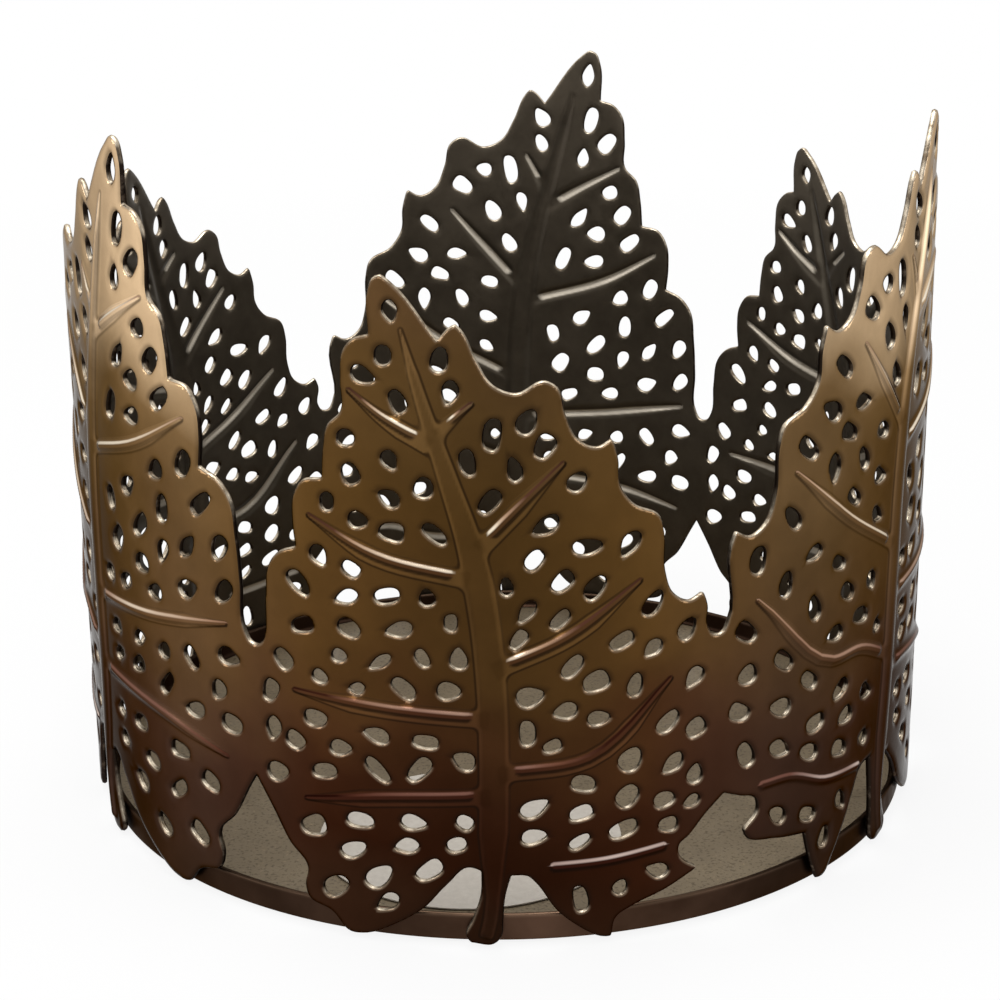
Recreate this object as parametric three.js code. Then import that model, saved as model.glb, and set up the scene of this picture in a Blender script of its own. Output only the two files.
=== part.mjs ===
// Leaf-crown candle holder: six perforated sheet-metal leaves stand in a ring round a shallow pan.
// Millimetres, +Z up. The origin is the centre of the pan's underside, and the front leaf faces -Y.
// Low and tall leaves take turns. Both are rolled in two bands of three leaves that meet at two seams.
import * as THREE from 'three';

// Pan
const PAN_RADIUS = 55;
const PAN_WALL = 0.8;
const RIM_HEIGHT = 3.5;
const RIM_BEND = 0.6; // inside radius
const BEND_STEPS = 2;
const PAN_SEGMENTS = 54;

// Leaf sheet
const SHEET = 0.9;
const SEAT_GAP = 0.3;
const SEAM_GAP = 0.3;
const LOW_LEAF_HEIGHT = 79.2;
const TALL_LEAF_HEIGHT = 91.4;
const FOOT_CLEARANCE = 0.3;
const SEAM_SPAN = [17.5, 36];
const FRONT_SPREAD = 1.5;
const REAR_SPREAD = 0.9;

// Embossed ribs and perforations
const RIB_HEIGHT = 0.55;
const HOLE_CORNERS = [0, 105, 180, 255];
const HOLE_SWELL = 1.18;

// Label
const LABEL_DIAMETER = 38.6;
const LABEL_THICKNESS = 0.15;
const LABEL_GLUE = 0.05;
const LABEL_OFFSET_X = -3;
const LABEL_OFFSET_Y = -29.9;
const LABEL_SEGMENTS = 32;

// Finishes as [colour, roughness, metalness]
const LEAF_FINISH = [0x6b4d22, 0.28, 0.9];
const PAN_FINISH = [0x4a4238, 0.5, 0.8];
const PAPER_FINISH = [0xe8e4da, 0.8, 0];

// The leaf drawing is one pattern, seen from outside with the foot of the stalk at x = 0.
// Its own size is only the scale that its points are written in: each leaf stretches it to fit.
// A leaf joins its neighbours at these two values of x.
const DRAWN_SIDES = [-27.4, 27.4];

// Stepped left edge of the leaf, from the sinus up to the tip
const STEPPED_EDGE = [
  [-26.0, 36.4], [-25.7, 41.0], [-24.9, 45.4], [-23.6, 46.8], [-21.4, 47.7],
  [-21.7, 50.8], [-21.4, 53.8], [-20.2, 55.6], [-17.8, 56.1],
  [-17.5, 59.6], [-16.9, 62.2], [-15.3, 63.8],
  [-15.2, 67.2], [-14.6, 71.0], [-13.5, 72.1], [-11.8, 72.6],
  [-11.7, 77.4], [-11.1, 78.8], [-10.2, 79.2],
];

// Toothed right edge with hollow arcs, from the tip down to the sinus
const TOOTHED_EDGE = [
  [-9.2, 78.5], [-4.1, 72.2], [-2.0, 74.0],
  [0.2, 69.9], [1.9, 67.3], [4.2, 66.4], [7.6, 67.7], [8.8, 67.0],
  [9.7, 64.0], [11.3, 60.9], [13.2, 60.1], [15.0, 61.0],
  [15.7, 58.4], [15.9, 55.6], [17.5, 53.3], [20.6, 51.6],
  [21.2, 49.5], [21.4, 45.0], [22.5, 42.2], [24.3, 41.2], [26.2, 42.0], [26.8, 40.4],
];

// Lower edges. Each leaf size has its own right lobe, from the window on the right to the stalk.
const LOW_LEAF_RIGHT_LOBE = [
  [27.0, 14.0], [25.0, 11.8], [23.7, 10.7], [23.7, 9.8], [26.2, 7.4], [22.0, 5.4], [17.6, 3.8], [15.9, 2.8],
  [15.3, 0.3], [14.5, 0.3], [11.0, 2.2], [8.7, 4.3], [6.3, 7.9], [5.4, 8.8], [3.4, 9.0],
];
const TALL_LEAF_RIGHT_LOBE = [
  [24.6, 13.2], [22.8, 12.5], [22.5, 11.4], [24.3, 9.4], [24.0, 8.6], [20.2, 7.2], [15.6, 6.4], [14.6, 3.2],
  [13.3, 0.3], [12.3, 0.3], [10.6, 2.2], [8.6, 5.3], [7.0, 8.3], [5.4, 10.7], [3.4, 11.0],
];
const STALK_AND_LEFT_LOBE = [
  [2.7, 6.4], [2.4, 3.0], [2.2, 1.1], [1.6, 0.3], [-1.5, 0.3], [-2.0, 1.1], [-1.2, 3.4], [-0.2, 6.6],
  [-0.1, 9.6], [-1.4, 10.0], [-4.0, 7.8], [-7.0, 4.4], [-10.0, 2.3],
  [-14.6, 0.3], [-16.0, 0.3], [-18.4, 2.6], [-21.5, 4.0], [-21.9, 5.6],
  [-21.5, 7.8], [-23.8, 10.6], [-25.9, 14.4],
];

// Joints between neighbours, with points written about the joint in the scale of a low leaf: the notch above
// it, and the peak of the window below it, which leans towards the taller leaf. The left joint of a band
// has two stepped edges and the right one two toothed ones.
const STEPPED_JOINT = {
  notch: [[-1.35, 36.2], [-0.6, 35.1], [0.6, 35.1], [1.35, 36.2]],
  peak: [0.8, 18.2],
};
const TOOTHED_JOINT = {
  notch: [[-1.25, 37.6], [-0.6, 36.6], [0.6, 36.6], [1.25, 37.6]],
  peak: [1.4, 16.2],
};

// Rib paths. The midrib runs from the tip to the stalk, the others from the blade in to the midrib.
// Between its ends a rib is as wide as its stations say: [share of the way along, half width].
const LOW_LEAF_MIDRIB = [
  [-8, 73.3], [-5.7, 65], [-3.2, 57], [-0.8, 49], [0.6, 41], [1.4, 31], [1.5, 20], [1.3, 11],
];
const TALL_LEAF_MIDRIB = [
  [-8, 73.3], [-5.7, 65], [-3.4, 57], [-1.5, 49], [-0.5, 41], [-0.1, 31], [0.2, 20], [1, 11],
];
const MIDRIB_STATIONS = [
  [1 / 7, 0.8], [2 / 7, 0.8], [3 / 7, 0.85], [4 / 7, 0.85], [5 / 7, 0.9], [6 / 7, 0.9],
];
const SIDE_RIB_STATIONS = [[0.12, 0.75], [0.36, 0.8], [0.66, 0.8], [0.88, 0.75]];
const LOW_LEAF_RIBS = [
  [[-14, 66.4], [-10.5, 63.7], [-6.3, 61.3]],
  [[-19.3, 51.7], [-11.5, 47.6], [-2.4, 45.6]],
  [[-22, 30.4], [-11, 29.4], [-0.5, 28.8]],
  [[-21, 17], [-10, 18.5], [-0.4, 19.2]],
  [[-3.2, 62.9], [-1.8, 64.2], [-0.5, 65.3]],
  [[1.2, 50], [5.3, 54.3], [9.4, 58.5]],
  [[3, 35.2], [10, 38.3], [18.2, 44.4]],
  [[3.5, 22.2], [12.4, 23.4], [22, 32.2]],
  [[8.4, 10.2], [14.5, 10.4], [21.4, 11.2]],
];
const TALL_LEAF_RIBS = [
  [[-14.3, 63.7], [-9.7, 61.3], [-5.6, 59]],
  [[-19.6, 52.3], [-12.5, 48.4], [-2.8, 45.6]],
  [[-24, 31.8], [-12.5, 29.8], [-1.9, 29]],
  [[-23.4, 17.2], [-14.6, 19.2], [-5, 20.3], [-1.9, 20.5]],
  [[-3.5, 61.8], [-2.6, 63.5], [-1.7, 65.1]],
  [[0.6, 48.8], [4.8, 53.5], [8.7, 58]],
  [[1.9, 35.3], [10.4, 40], [18.9, 46.7]],
  [[2.1, 22.8], [7.4, 24.9], [12.4, 25.1], [23.5, 34.3]],
  [[6.7, 11.3], [13, 11.9], [18.6, 13.9], [22.2, 14]],
];

// Perforations as [x, z, length, width, tilt in degrees]
const LOW_LEAF_HOLES = [
  [-9.2, 75.3, 2.6, 1.7, 100], [-10.2, 70.4, 2.3, 1.9, 90], [-12.4, 68.2, 3.1, 1.8, -28],
  [-8.7, 65.3, 2.8, 1.7, -65], [-3.9, 70.1, 3, 1.9, 80], [-2.9, 66.5, 2.9, 1.8, 80],
  [1.9, 61.8, 3.9, 2, 82], [5.6, 63.2, 3.2, 2.1, 62], [7.4, 60.4, 3, 2.1, 60],
  [-0.9, 58.7, 3.2, 1.7, -78], [4, 57.9, 3, 1.6, -80], [1.4, 54.2, 3.3, 1.8, 50],
  [11, 56.3, 2.6, 1.9, 45], [7.5, 51.5, 3.6, 1.9, 35], [-14.7, 60.8, 2.1, 1.9, 0],
  [-9.7, 58.7, 2.4, 1.7, -60], [-14.2, 56.9, 2.6, 2, -65], [-6.1, 55.8, 2.5, 2.2, 70],
  [-9.9, 54.3, 2.8, 1.9, -35], [-17.2, 53.4, 2.2, 1.6, 90], [-13.5, 51.7, 2.4, 1.9, -10],
  [-9.7, 50.3, 3, 2.1, -10], [-4.8, 50.4, 3.4, 1.5, -40], [-18.4, 47, 2.7, 1.9, -60],
  [-14.5, 45.9, 2.4, 1.7, -30], [-21.2, 43.3, 3.8, 2, -45], [-15.2, 42.4, 3.1, 1.7, 20],
  [-10.4, 43, 3.2, 1.9, 12], [-5.9, 43, 2.1, 1.8, 90], [-20.8, 38.3, 3, 1.9, 15],
  [-15, 38.7, 3, 2.1, -30], [-9.1, 39.1, 3.4, 1.8, 15], [-3, 40.1, 2.1, 1.5, 90],
  [-16.3, 35.2, 1.9, 1.6, 0], [-11.4, 35, 3.2, 1.3, 33], [-6.4, 35.8, 2.4, 1.4, -60],
  [-2.2, 35.9, 2.7, 2, 100], [-23.6, 33.8, 2.9, 2.1, -50], [-18.8, 32.4, 2.1, 1.6, -30],
  [-14.3, 31.6, 2, 1.3, 10], [-8.8, 31.9, 3.4, 1.8, -40], [-3.5, 31.9, 2.9, 2.1, 0],
  [-25.6, 29.6, 3, 2, 70], [-19.6, 27.3, 3.1, 2.1, -5], [-12.1, 25.9, 3.3, 1.8, -18],
  [-6.3, 25.6, 3.2, 1.6, -5], [12.2, 48.8, 3.6, 1.8, 3], [17.2, 48.6, 3.5, 1.9, 52],
  [6.3, 47.4, 2.8, 1.8, 50], [3.1, 44.4, 2.3, 1.4, 95], [9.3, 44.9, 3, 1.9, 45],
  [13.2, 43.8, 3.4, 1.9, 52], [5.4, 41.4, 3.2, 1.5, 55], [9.1, 40.4, 2.9, 1.4, 45],
  [19.8, 41.5, 3.6, 1.8, 52], [4.5, 38.1, 2.6, 1.4, 50], [17.1, 18.1, 3.2, 2.5, 45],
  [6.1, 17.6, 3.8, 2, 25], [11.6, 16.4, 3, 1.8, 15], [21.7, 16.9, 2.8, 2, 10],
  [25.2, 16.2, 2.3, 1.5, 20], [16.6, 14.1, 3.8, 2, 20], [6.1, 13.8, 3.2, 1.8, 12],
  [22.2, 13.7, 2.5, 1.8, -5], [11.4, 13, 2.9, 1.4, 30], [20.9, 8.2, 3.1, 1.8, -15],
  [11.4, 5.6, 3.6, 1.8, -80], [16.3, 6.6, 2, 1.7, 60], [-25.4, 24.9, 3.2, 2.1, 85],
  [-22.3, 24.1, 2.7, 2.2, -30], [-16.5, 23.8, 2.9, 1.9, 5], [-7.1, 22.1, 3.8, 1.9, 48],
  [-12, 21.7, 4.1, 1.6, -46], [-2, 23.3, 2.9, 2.2, -35], [-18.7, 20.6, 3.3, 1.8, 8],
  [-25, 19.5, 3.1, 2.4, 10], [-20.5, 13.6, 3.5, 2.5, 20], [-14.4, 14.9, 3.6, 1.9, 0],
  [-7.9, 15.4, 3.3, 1.9, -5], [-1.9, 15.8, 2.1, 1.8, -30], [-15.4, 11.3, 3.6, 1.9, 22],
  [-8.8, 12.3, 3.2, 1.9, 10], [-2.9, 12.9, 2.5, 1.8, 20], [-12.3, 8.2, 4.2, 2.4, 38],
  [-6.3, 9.6, 3.8, 2, 38], [-17.7, 6, 3.8, 2.4, 35], [-11.3, 4.9, 3.4, 1.9, 38],
  [16.2, 37.4, 3.2, 1.7, 28], [24.3, 37.7, 3, 1.9, 60], [20, 36, 2.7, 1.8, 40],
  [10.5, 34.7, 3.4, 1.7, 48], [5.7, 31.4, 3.4, 2.4, 8], [13.3, 32.5, 3.3, 2.4, 20],
  [17.9, 31.8, 3, 1.7, 75], [9.7, 29.4, 3, 2, 15], [5.2, 26.8, 3.2, 1.9, 92], [13.6, 28.1, 2.8, 1.7, 8],
  [8.2, 25.1, 2.3, 1.4, 20], [21.9, 26.8, 3.5, 1.9, 42], [25.3, 31.6, 3, 1.9, 45],
  [25.6, 25.3, 2.7, 2.3, 30], [17.4, 22.7, 3.3, 2.7, 50], [22.6, 21.5, 3.3, 2, 42],
  [11.8, 20.1, 3.1, 2, -15], [25.6, 19.6, 2.6, 2, 80],
];
const TALL_LEAF_HOLES = [
  [-10.1, 75.9, 3.6, 1.9, -82], [-10.4, 70, 4.1, 2.1, -75], [-3.8, 70.4, 3.2, 2.2, 50],
  [-12.8, 66.9, 3.5, 2.3, -50], [-3.6, 66.9, 2.8, 1.8, 65], [-9.3, 65, 3, 1.8, -80],
  [0.8, 63.3, 4.5, 2.1, 80], [4.3, 63.3, 2.5, 2, 20], [7.2, 61.3, 3.3, 2.3, 35],
  [-13.1, 60.5, 2.5, 2.1, -20], [-0.8, 58.9, 3.1, 1.6, 75], [-15, 57.4, 3.3, 2.3, -52],
  [3.1, 57.8, 3.5, 2.3, 60], [-8.8, 56.9, 3.8, 1.8, -48], [12, 56.2, 3.5, 1.8, 42],
  [-11.2, 54.7, 3, 2.3, 0], [-16, 53.8, 3.6, 2, -38], [0.8, 53.4, 3.2, 2, 55], [8.2, 51.9, 3.2, 1.7, 0],
  [-6.6, 51.2, 3.8, 2, -65], [-10.9, 51, 3.2, 1.9, -10], [10.6, 49.1, 3, 1.8, 20],
  [3.7, 47.9, 2.8, 1.8, 15], [13.6, 52.1, 3.5, 2.1, 28], [16.9, 48.9, 3.6, 1.9, 42],
  [7.7, 45.8, 3, 1.8, 65], [12.9, 45.9, 3.6, 2, 90], [-19, 47.6, 3.3, 2.2, -65],
  [-14.6, 46.1, 2.7, 2.1, -40], [-21.3, 43.8, 3.8, 1.7, -42], [-15.4, 42.1, 3.4, 2, 95],
  [-9.2, 43.2, 3.2, 2.1, -30], [-5, 40.7, 2.8, 1.9, 75], [-23.5, 39.6, 3.2, 2.1, -60],
  [-19, 38.9, 3.4, 1.8, -50], [-11.2, 39.4, 3.7, 2, -45], [-15.2, 37.4, 2.9, 1.8, -65],
  [-6.3, 36.6, 3.2, 2.4, -55], [-23.7, 35.1, 3.2, 2, -50], [-18.7, 34.4, 3.4, 2.2, -15],
  [-11.2, 35, 2.8, 2.2, 0], [-13.3, 32.5, 2.8, 1.8, -5], [-7.5, 32.2, 2.7, 1.7, -20],
  [-3.6, 32.1, 2.4, 1.8, 0], [-24, 28.1, 3.3, 2, 5], [-18.8, 26.8, 3, 1.9, 50],
  [-14.3, 26.4, 2.2, 1.9, -20], [-9.8, 26.3, 2.6, 1.7, -25], [-4.4, 26, 2.6, 1.6, -5],
  [-22.4, 24.2, 2.5, 2.1, -60], [-14.5, 22.8, 3.4, 1.6, -50], [-9.2, 23.1, 3, 1.8, -20],
  [-4.8, 23, 2.5, 1.6, -20], [-24, 20.9, 3.1, 2.2, 10], [-18.9, 21.2, 3.3, 1.8, -12],
  [-16.2, 15.6, 3.5, 1.8, 0], [-8.9, 16.4, 3.2, 1.8, -5], [-4.2, 16.4, 2.1, 1.7, -20],
  [-20.6, 13.3, 3, 2.1, 20], [-11, 12.7, 3.2, 1.9, 10], [-4.8, 13, 2.4, 1.7, 15],
  [-15.6, 11.2, 3.4, 1.7, -35], [-8.4, 9.4, 3.2, 2, 30], [-18.6, 6.9, 3.4, 2.2, 35],
  [-12.7, 5.9, 3.2, 1.9, 35], [3.9, 43.2, 3, 1.7, 18], [9.2, 42, 2.8, 1.6, 35], [18.9, 42, 3.4, 1.7, 52],
  [4.2, 39, 2.6, 1.6, 35], [23.2, 38.4, 3.3, 2.1, 100], [15.6, 37.5, 2.8, 1.5, -20],
  [11.4, 35.5, 2.5, 1.5, 20], [19.5, 35.1, 3.1, 1.8, 100], [5, 31.8, 2.3, 1.9, 60],
  [9.7, 31.9, 2.7, 1.9, 30], [15.2, 31.6, 3.2, 1.9, 75], [24.5, 31.2, 3.1, 2, 40],
  [6.9, 28.4, 3.3, 1.8, 10], [11.7, 27.8, 3, 1.7, -5], [19.5, 27, 3.2, 1.9, 40],
  [24.4, 26.6, 2.6, 2.2, -30], [3.1, 26.2, 1.6, 1.5, 0], [15.7, 23.8, 3, 1.8, 35],
  [19.8, 22, 3.3, 2.1, 10], [25.1, 22.8, 2.9, 2, 25], [10.3, 21.2, 3.2, 1.8, -30],
  [5.1, 19.4, 2.7, 1.8, 20], [14.5, 18.8, 3.2, 2, -10], [9.2, 17.8, 2.9, 1.9, -10],
  [19.8, 17.3, 3.3, 2, 25], [24.2, 17.8, 3.3, 2.1, 65], [5.3, 14.2, 2, 1.7, 0], [10.2, 14.4, 3, 1.9, 15],
  [15.4, 15.7, 3.2, 1.9, 20], [9.5, 8.3, 2.7, 1.7, 60], [15.2, 8.7, 2.9, 1.7, 20],
  [19.8, 9.8, 2.9, 1.8, 40], [12.4, 5, 2.6, 1.6, -75],
];

// Sizes that follow from the ones above
const DRAWN_TOP = Math.max(...STEPPED_EDGE.map(([, z]) => z));
const DRAWN_FOOT = Math.min(...STALK_AND_LEFT_LOBE.map(([, z]) => z));
const SHEET_INNER_RADIUS = PAN_RADIUS + SEAT_GAP;
const SHEET_OUTER_RADIUS = SHEET_INNER_RADIUS + SHEET;
const CIRCUMFERENCE = 2 * Math.PI * SHEET_OUTER_RADIUS;
const TALL_SHARE = TALL_LEAF_HEIGHT / (LOW_LEAF_HEIGHT + TALL_LEAF_HEIGHT);
const LEAF_PAIR_COUNT = 3;
const PAIR_WIDTH = CIRCUMFERENCE / LEAF_PAIR_COUNT;

const LOW_LEAF = {
  height: LOW_LEAF_HEIGHT,
  halfWidth: (PAIR_WIDTH * (1 - TALL_SHARE)) / 2,
  lowerEdge: [...LOW_LEAF_RIGHT_LOBE, ...STALK_AND_LEFT_LOBE],
  midrib: LOW_LEAF_MIDRIB,
  ribs: LOW_LEAF_RIBS,
  holes: LOW_LEAF_HOLES,
};
const TALL_LEAF = {
  height: TALL_LEAF_HEIGHT,
  halfWidth: (PAIR_WIDTH * TALL_SHARE) / 2,
  lowerEdge: [...TALL_LEAF_RIGHT_LOBE, ...STALK_AND_LEFT_LOBE],
  midrib: TALL_LEAF_MIDRIB,
  ribs: TALL_LEAF_RIBS,
  holes: TALL_LEAF_HOLES,
};

// Leaves from left to right, seen from outside. A turned leaf leans to the right instead of the left.
const FRONT_LEAVES = [
  { ...TALL_LEAF, turned: true },
  { ...LOW_LEAF, turned: false },
  { ...TALL_LEAF, turned: true },
];
const REAR_LEAVES = [
  { ...LOW_LEAF, turned: true },
  { ...TALL_LEAF, turned: false },
  { ...LOW_LEAF, turned: true },
];

function heightOnLeaf(leaf, z) {
  const up = (leaf.height - FOOT_CLEARANCE) / (DRAWN_TOP - DRAWN_FOOT);
  return FOOT_CLEARANCE + (z - DRAWN_FOOT) * up;
}

// Carries a drawn point onto a leaf whose stalk stands at `middle` along the sheet. Each half of the leaf
// has its own width, `halves`: first the stepped half, then the toothed one.
function placeOnLeaf(leaf, middle, halves, [x, z]) {
  const across = (halves[x < 0 ? 0 : 1] / DRAWN_SIDES[1]) * (leaf.turned ? -1 : 1);
  return new THREE.Vector2(middle + x * across, heightOnLeaf(leaf, z));
}

function placeOnJoint(joint, [x, z]) {
  return new THREE.Vector2(joint + (x * LOW_LEAF.halfWidth) / DRAWN_SIDES[1], heightOnLeaf(LOW_LEAF, z));
}

// Kite-shaped perforation, with its long axis turned by its tilt.
function drawHole([x, z, length, width, tilt]) {
  const turn = THREE.MathUtils.degToRad(tilt);
  return HOLE_CORNERS.map((corner) => {
    const angle = THREE.MathUtils.degToRad(corner);
    const along = (HOLE_SWELL * length * Math.cos(angle)) / 2;
    const aside = (HOLE_SWELL * width * Math.sin(angle)) / 2;
    return [
      x + along * Math.cos(turn) - aside * Math.sin(turn),
      z + along * Math.sin(turn) + aside * Math.cos(turn),
    ];
  });
}

// A rib on the flat sheet: two pointed ends, side points on the sheet and a raised crest between them.
function drawRib(path, stations, place) {
  const curve = new THREE.SplineCurve(path.map(([x, z]) => new THREE.Vector2(x, z)));
  const row = (side) => stations.map(([along, halfWidth]) => {
    const aside = curve.getTangent(along).rotateAround(new THREE.Vector2(), Math.PI / 2);
    return place(curve.getPoint(along).addScaledVector(aside, side * halfWidth).toArray());
  });
  return {
    start: place(path[0]),
    end: place(path[path.length - 1]),
    right: row(-1),
    crest: row(0),
    left: row(1),
  };
}

// Swaps the diagonal of each pair of triangles whose facing corners add up to more than a half turn,
// until none is left, so that the rolled sheet has no long thin facets.
const SWAP_TOLERANCE = 1e-6;
function evenTriangles(points, faces) {
  const corner = (p, a, b) => {
    const u = points[a].clone().sub(points[p]);
    const v = points[b].clone().sub(points[p]);
    return Math.abs(Math.atan2(u.cross(v), u.dot(v)));
  };
  let swapped = true;
  while (swapped) {
    swapped = false;
    const sides = new Map();
    const touched = new Set();
    faces.forEach((face, index) => {
      for (let k = 0; k < 3; k += 1) {
        sides.set(`${face[k]}_${face[(k + 1) % 3]}`, [index, face[(k + 2) % 3]]);
      }
    });
    for (const [side, [first, p]] of sides) {
      const [a, b] = side.split('_').map(Number);
      const facing = sides.get(`${b}_${a}`);
      if (!facing || touched.has(first) || touched.has(facing[0])) continue;
      const [second, q] = facing;
      if (corner(p, a, b) + corner(q, a, b) < Math.PI + SWAP_TOLERANCE) continue;
      faces[first] = [p, a, q];
      faces[second] = [q, b, p];
      touched.add(first).add(second);
      swapped = true;
    }
  }
  return faces;
}

// Rolls a flat sheet with openings and ribs into a closed wall of even thickness on the ring.
// A point at distance x along the sheet goes to the angle x / SHEET_OUTER_RADIUS, measured from -Y.
function rollSheet(outline, holes, ribs, facing) {
  const ribLoops = ribs.map((rib) => [rib.start, ...rib.right, rib.end, ...rib.left.toReversed()]);
  const counterClockwise = (loop) => (THREE.ShapeUtils.isClockWise(loop) ? loop.toReversed() : loop);
  const clockwise = (loop) => counterClockwise(loop).toReversed();
  const loops = [counterClockwise(outline), ...holes.map(clockwise)];
  const openings = [...loops.slice(1), ...ribLoops.map(clockwise)];
  const points = [loops[0], ...openings].flat();
  const crests = ribs.flatMap((rib) => rib.crest);
  const all = [...points, ...crests];
  const indexOf = new Map(all.map((point, index) => [point, index]));
  const indices = (row) => row.map((point) => indexOf.get(point));

  const flat = THREE.ShapeUtils.triangulateShape(loops[0], openings).map(([a, b, c]) => {
    const area = points[b].clone().sub(points[a]).cross(points[c].clone().sub(points[a]));
    return area > 0 ? [a, b, c] : [a, c, b];
  });
  const faces = evenTriangles(points, flat);
  ribs.forEach((rib) => {
    const [start, end] = indices([rib.start, rib.end]);
    const [right, left, crest] = [rib.right, rib.left, rib.crest].map(indices);
    const last = crest.length - 1;
    const strip = [[start, right[0], crest[0]], [start, crest[0], left[0]]];
    for (let k = 0; k < last; k += 1) {
      strip.push([right[k], right[k + 1], crest[k + 1]], [right[k], crest[k + 1], crest[k]]);
      strip.push([crest[k], crest[k + 1], left[k + 1]], [crest[k], left[k + 1], left[k]]);
    }
    strip.push([right[last], end, crest[last]], [crest[last], end, left[last]]);
    const [a, b, c] = strip[0].map((index) => all[index]);
    const upright = b.clone().sub(a).cross(c.clone().sub(a)) > 0;
    faces.push(...strip.map(([i, j, k]) => (upright ? [i, j, k] : [i, k, j])));
  });

  const positions = [SHEET_OUTER_RADIUS, SHEET_INNER_RADIUS].flatMap((wall) =>
    all.flatMap((point, index) => {
      const radius = wall + (index < points.length ? 0 : RIB_HEIGHT);
      const angle = facing + point.x / SHEET_OUTER_RADIUS;
      return [radius * Math.sin(angle), -radius * Math.cos(angle), point.y];
    }));
  const inside = all.length;
  const triangles = faces.flatMap(([a, b, c]) => [a, b, c, inside + a, inside + c, inside + b]);
  loops.forEach((loop) => loop.forEach((point, k) => {
    const a = indexOf.get(point);
    const b = indexOf.get(loop[(k + 1) % loop.length]);
    triangles.push(a, inside + a, inside + b, a, inside + b, b);
  }));

  const geometry = new THREE.BufferGeometry();
  geometry.setAttribute('position', new THREE.Float32BufferAttribute(positions, 3));
  geometry.setIndex(triangles);
  geometry.computeVertexNormals();
  return geometry;
}

// A band of leaves side by side, with its middle leaf's stalk at the angle `facing`. The outer leaves stand
// away from the middle one by `spread`. Their half beside the seam is narrower by as much, and the left
// leaf's other half, which is a stepped one, is wider.
function leafBand(leaves, spread, facing) {
  const [leftHalf, middleHalf, rightHalf] = leaves.map((leaf) => leaf.halfWidth);
  const middles = [-leftHalf - middleHalf - spread, 0, middleHalf + rightHalf + spread];
  const halves = [
    [leftHalf + spread, leftHalf - spread],
    [middleHalf, middleHalf],
    [rightHalf - spread, rightHalf],
  ];
  const joints = [-middleHalf, middleHalf + spread / 2];
  const onLeaf = (k) => (point) => placeOnLeaf(leaves[k], middles[k], halves[k], point);
  const notch = (k) => {
    const shape = k === 0 ? STEPPED_JOINT : TOOTHED_JOINT;
    return shape.notch.map((point) => placeOnJoint(joints[k], point));
  };
  const windowPeak = (k) => {
    const [lean, height] = k === 0 ? STEPPED_JOINT.peak : TOOTHED_JOINT.peak;
    return placeOnJoint(joints[k], [lean * Math.sign(leaves[k + 1].height - leaves[k].height), height]);
  };
  const upper = leaves.flatMap((leaf, k) => {
    const edge = [...STEPPED_EDGE, ...TOOTHED_EDGE].map(onLeaf(k));
    const rising = leaf.turned ? edge.toReversed() : edge;
    return k === 0 ? rising : [...notch(k - 1), ...rising];
  });
  const lower = leaves.flatMap((leaf, k) => {
    const edge = leaf.lowerEdge.map(onLeaf(k));
    const running = leaf.turned ? edge : edge.toReversed();
    return k === 0 ? running : [windowPeak(k - 1), ...running];
  });
  const leftSeam = -middleHalf - 2 * leftHalf + SEAM_GAP / 2;
  const rightSeam = middleHalf + 2 * rightHalf - SEAM_GAP / 2;
  const [seamFoot, seamTop] = SEAM_SPAN;
  const outline = [
    new THREE.Vector2(leftSeam, seamFoot),
    ...lower,
    new THREE.Vector2(rightSeam, seamFoot),
    new THREE.Vector2(rightSeam, seamTop),
    ...upper.toReversed(),
    new THREE.Vector2(leftSeam, seamTop),
  ];
  const holes = leaves.flatMap((leaf, k) => leaf.holes.map((hole) => drawHole(hole).map(onLeaf(k))));
  const ribs = leaves.flatMap((leaf, k) => [
    drawRib(leaf.midrib, MIDRIB_STATIONS, onLeaf(k)),
    ...leaf.ribs.map((path) => drawRib(path, SIDE_RIB_STATIONS, onLeaf(k))),
  ]);
  return rollSheet(outline, holes, ribs, facing);
}

// Shallow tray turned about Z: flat floor, rounded bend and upright rim.
function basePan() {
  const outerBend = RIM_BEND + PAN_WALL;
  const bend = (radius) => Array.from({ length: BEND_STEPS + 1 }, (_, step) => {
    const angle = (step / BEND_STEPS) * (Math.PI / 2);
    const across = PAN_RADIUS - outerBend + radius * Math.sin(angle);
    return new THREE.Vector2(across, outerBend - radius * Math.cos(angle));
  });
  const profile = [
    new THREE.Vector2(0, 0),
    ...bend(outerBend),
    new THREE.Vector2(PAN_RADIUS, RIM_HEIGHT),
    new THREE.Vector2(PAN_RADIUS - PAN_WALL, RIM_HEIGHT),
    ...bend(RIM_BEND).toReversed(),
    new THREE.Vector2(0, PAN_WALL),
  ];
  return new THREE.LatheGeometry(profile, PAN_SEGMENTS).rotateX(Math.PI / 2);
}

// Thin paper disc that lies on the floor of the pan.
function floorLabel() {
  const radius = LABEL_DIAMETER / 2;
  return new THREE.CylinderGeometry(radius, radius, LABEL_THICKNESS, LABEL_SEGMENTS).rotateX(Math.PI / 2);
}

function part(name, geometry, [color, roughness, metalness]) {
  const material = new THREE.MeshStandardMaterial({ color, roughness, metalness });
  const mesh = new THREE.Mesh(geometry, material);
  mesh.name = name;
  return mesh;
}

const label = part('floor_label', floorLabel(), PAPER_FINISH);
label.position.set(LABEL_OFFSET_X, LABEL_OFFSET_Y, PAN_WALL + LABEL_GLUE + LABEL_THICKNESS / 2);

const candleHolder = new THREE.Group();
candleHolder.add(part('leaf_band_front', leafBand(FRONT_LEAVES, FRONT_SPREAD, 0), LEAF_FINISH));
candleHolder.add(part('leaf_band_rear', leafBand(REAR_LEAVES, REAR_SPREAD, Math.PI), LEAF_FINISH));
candleHolder.add(part('base_pan', basePan(), PAN_FINISH));
candleHolder.add(label);

export default candleHolder;
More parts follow.
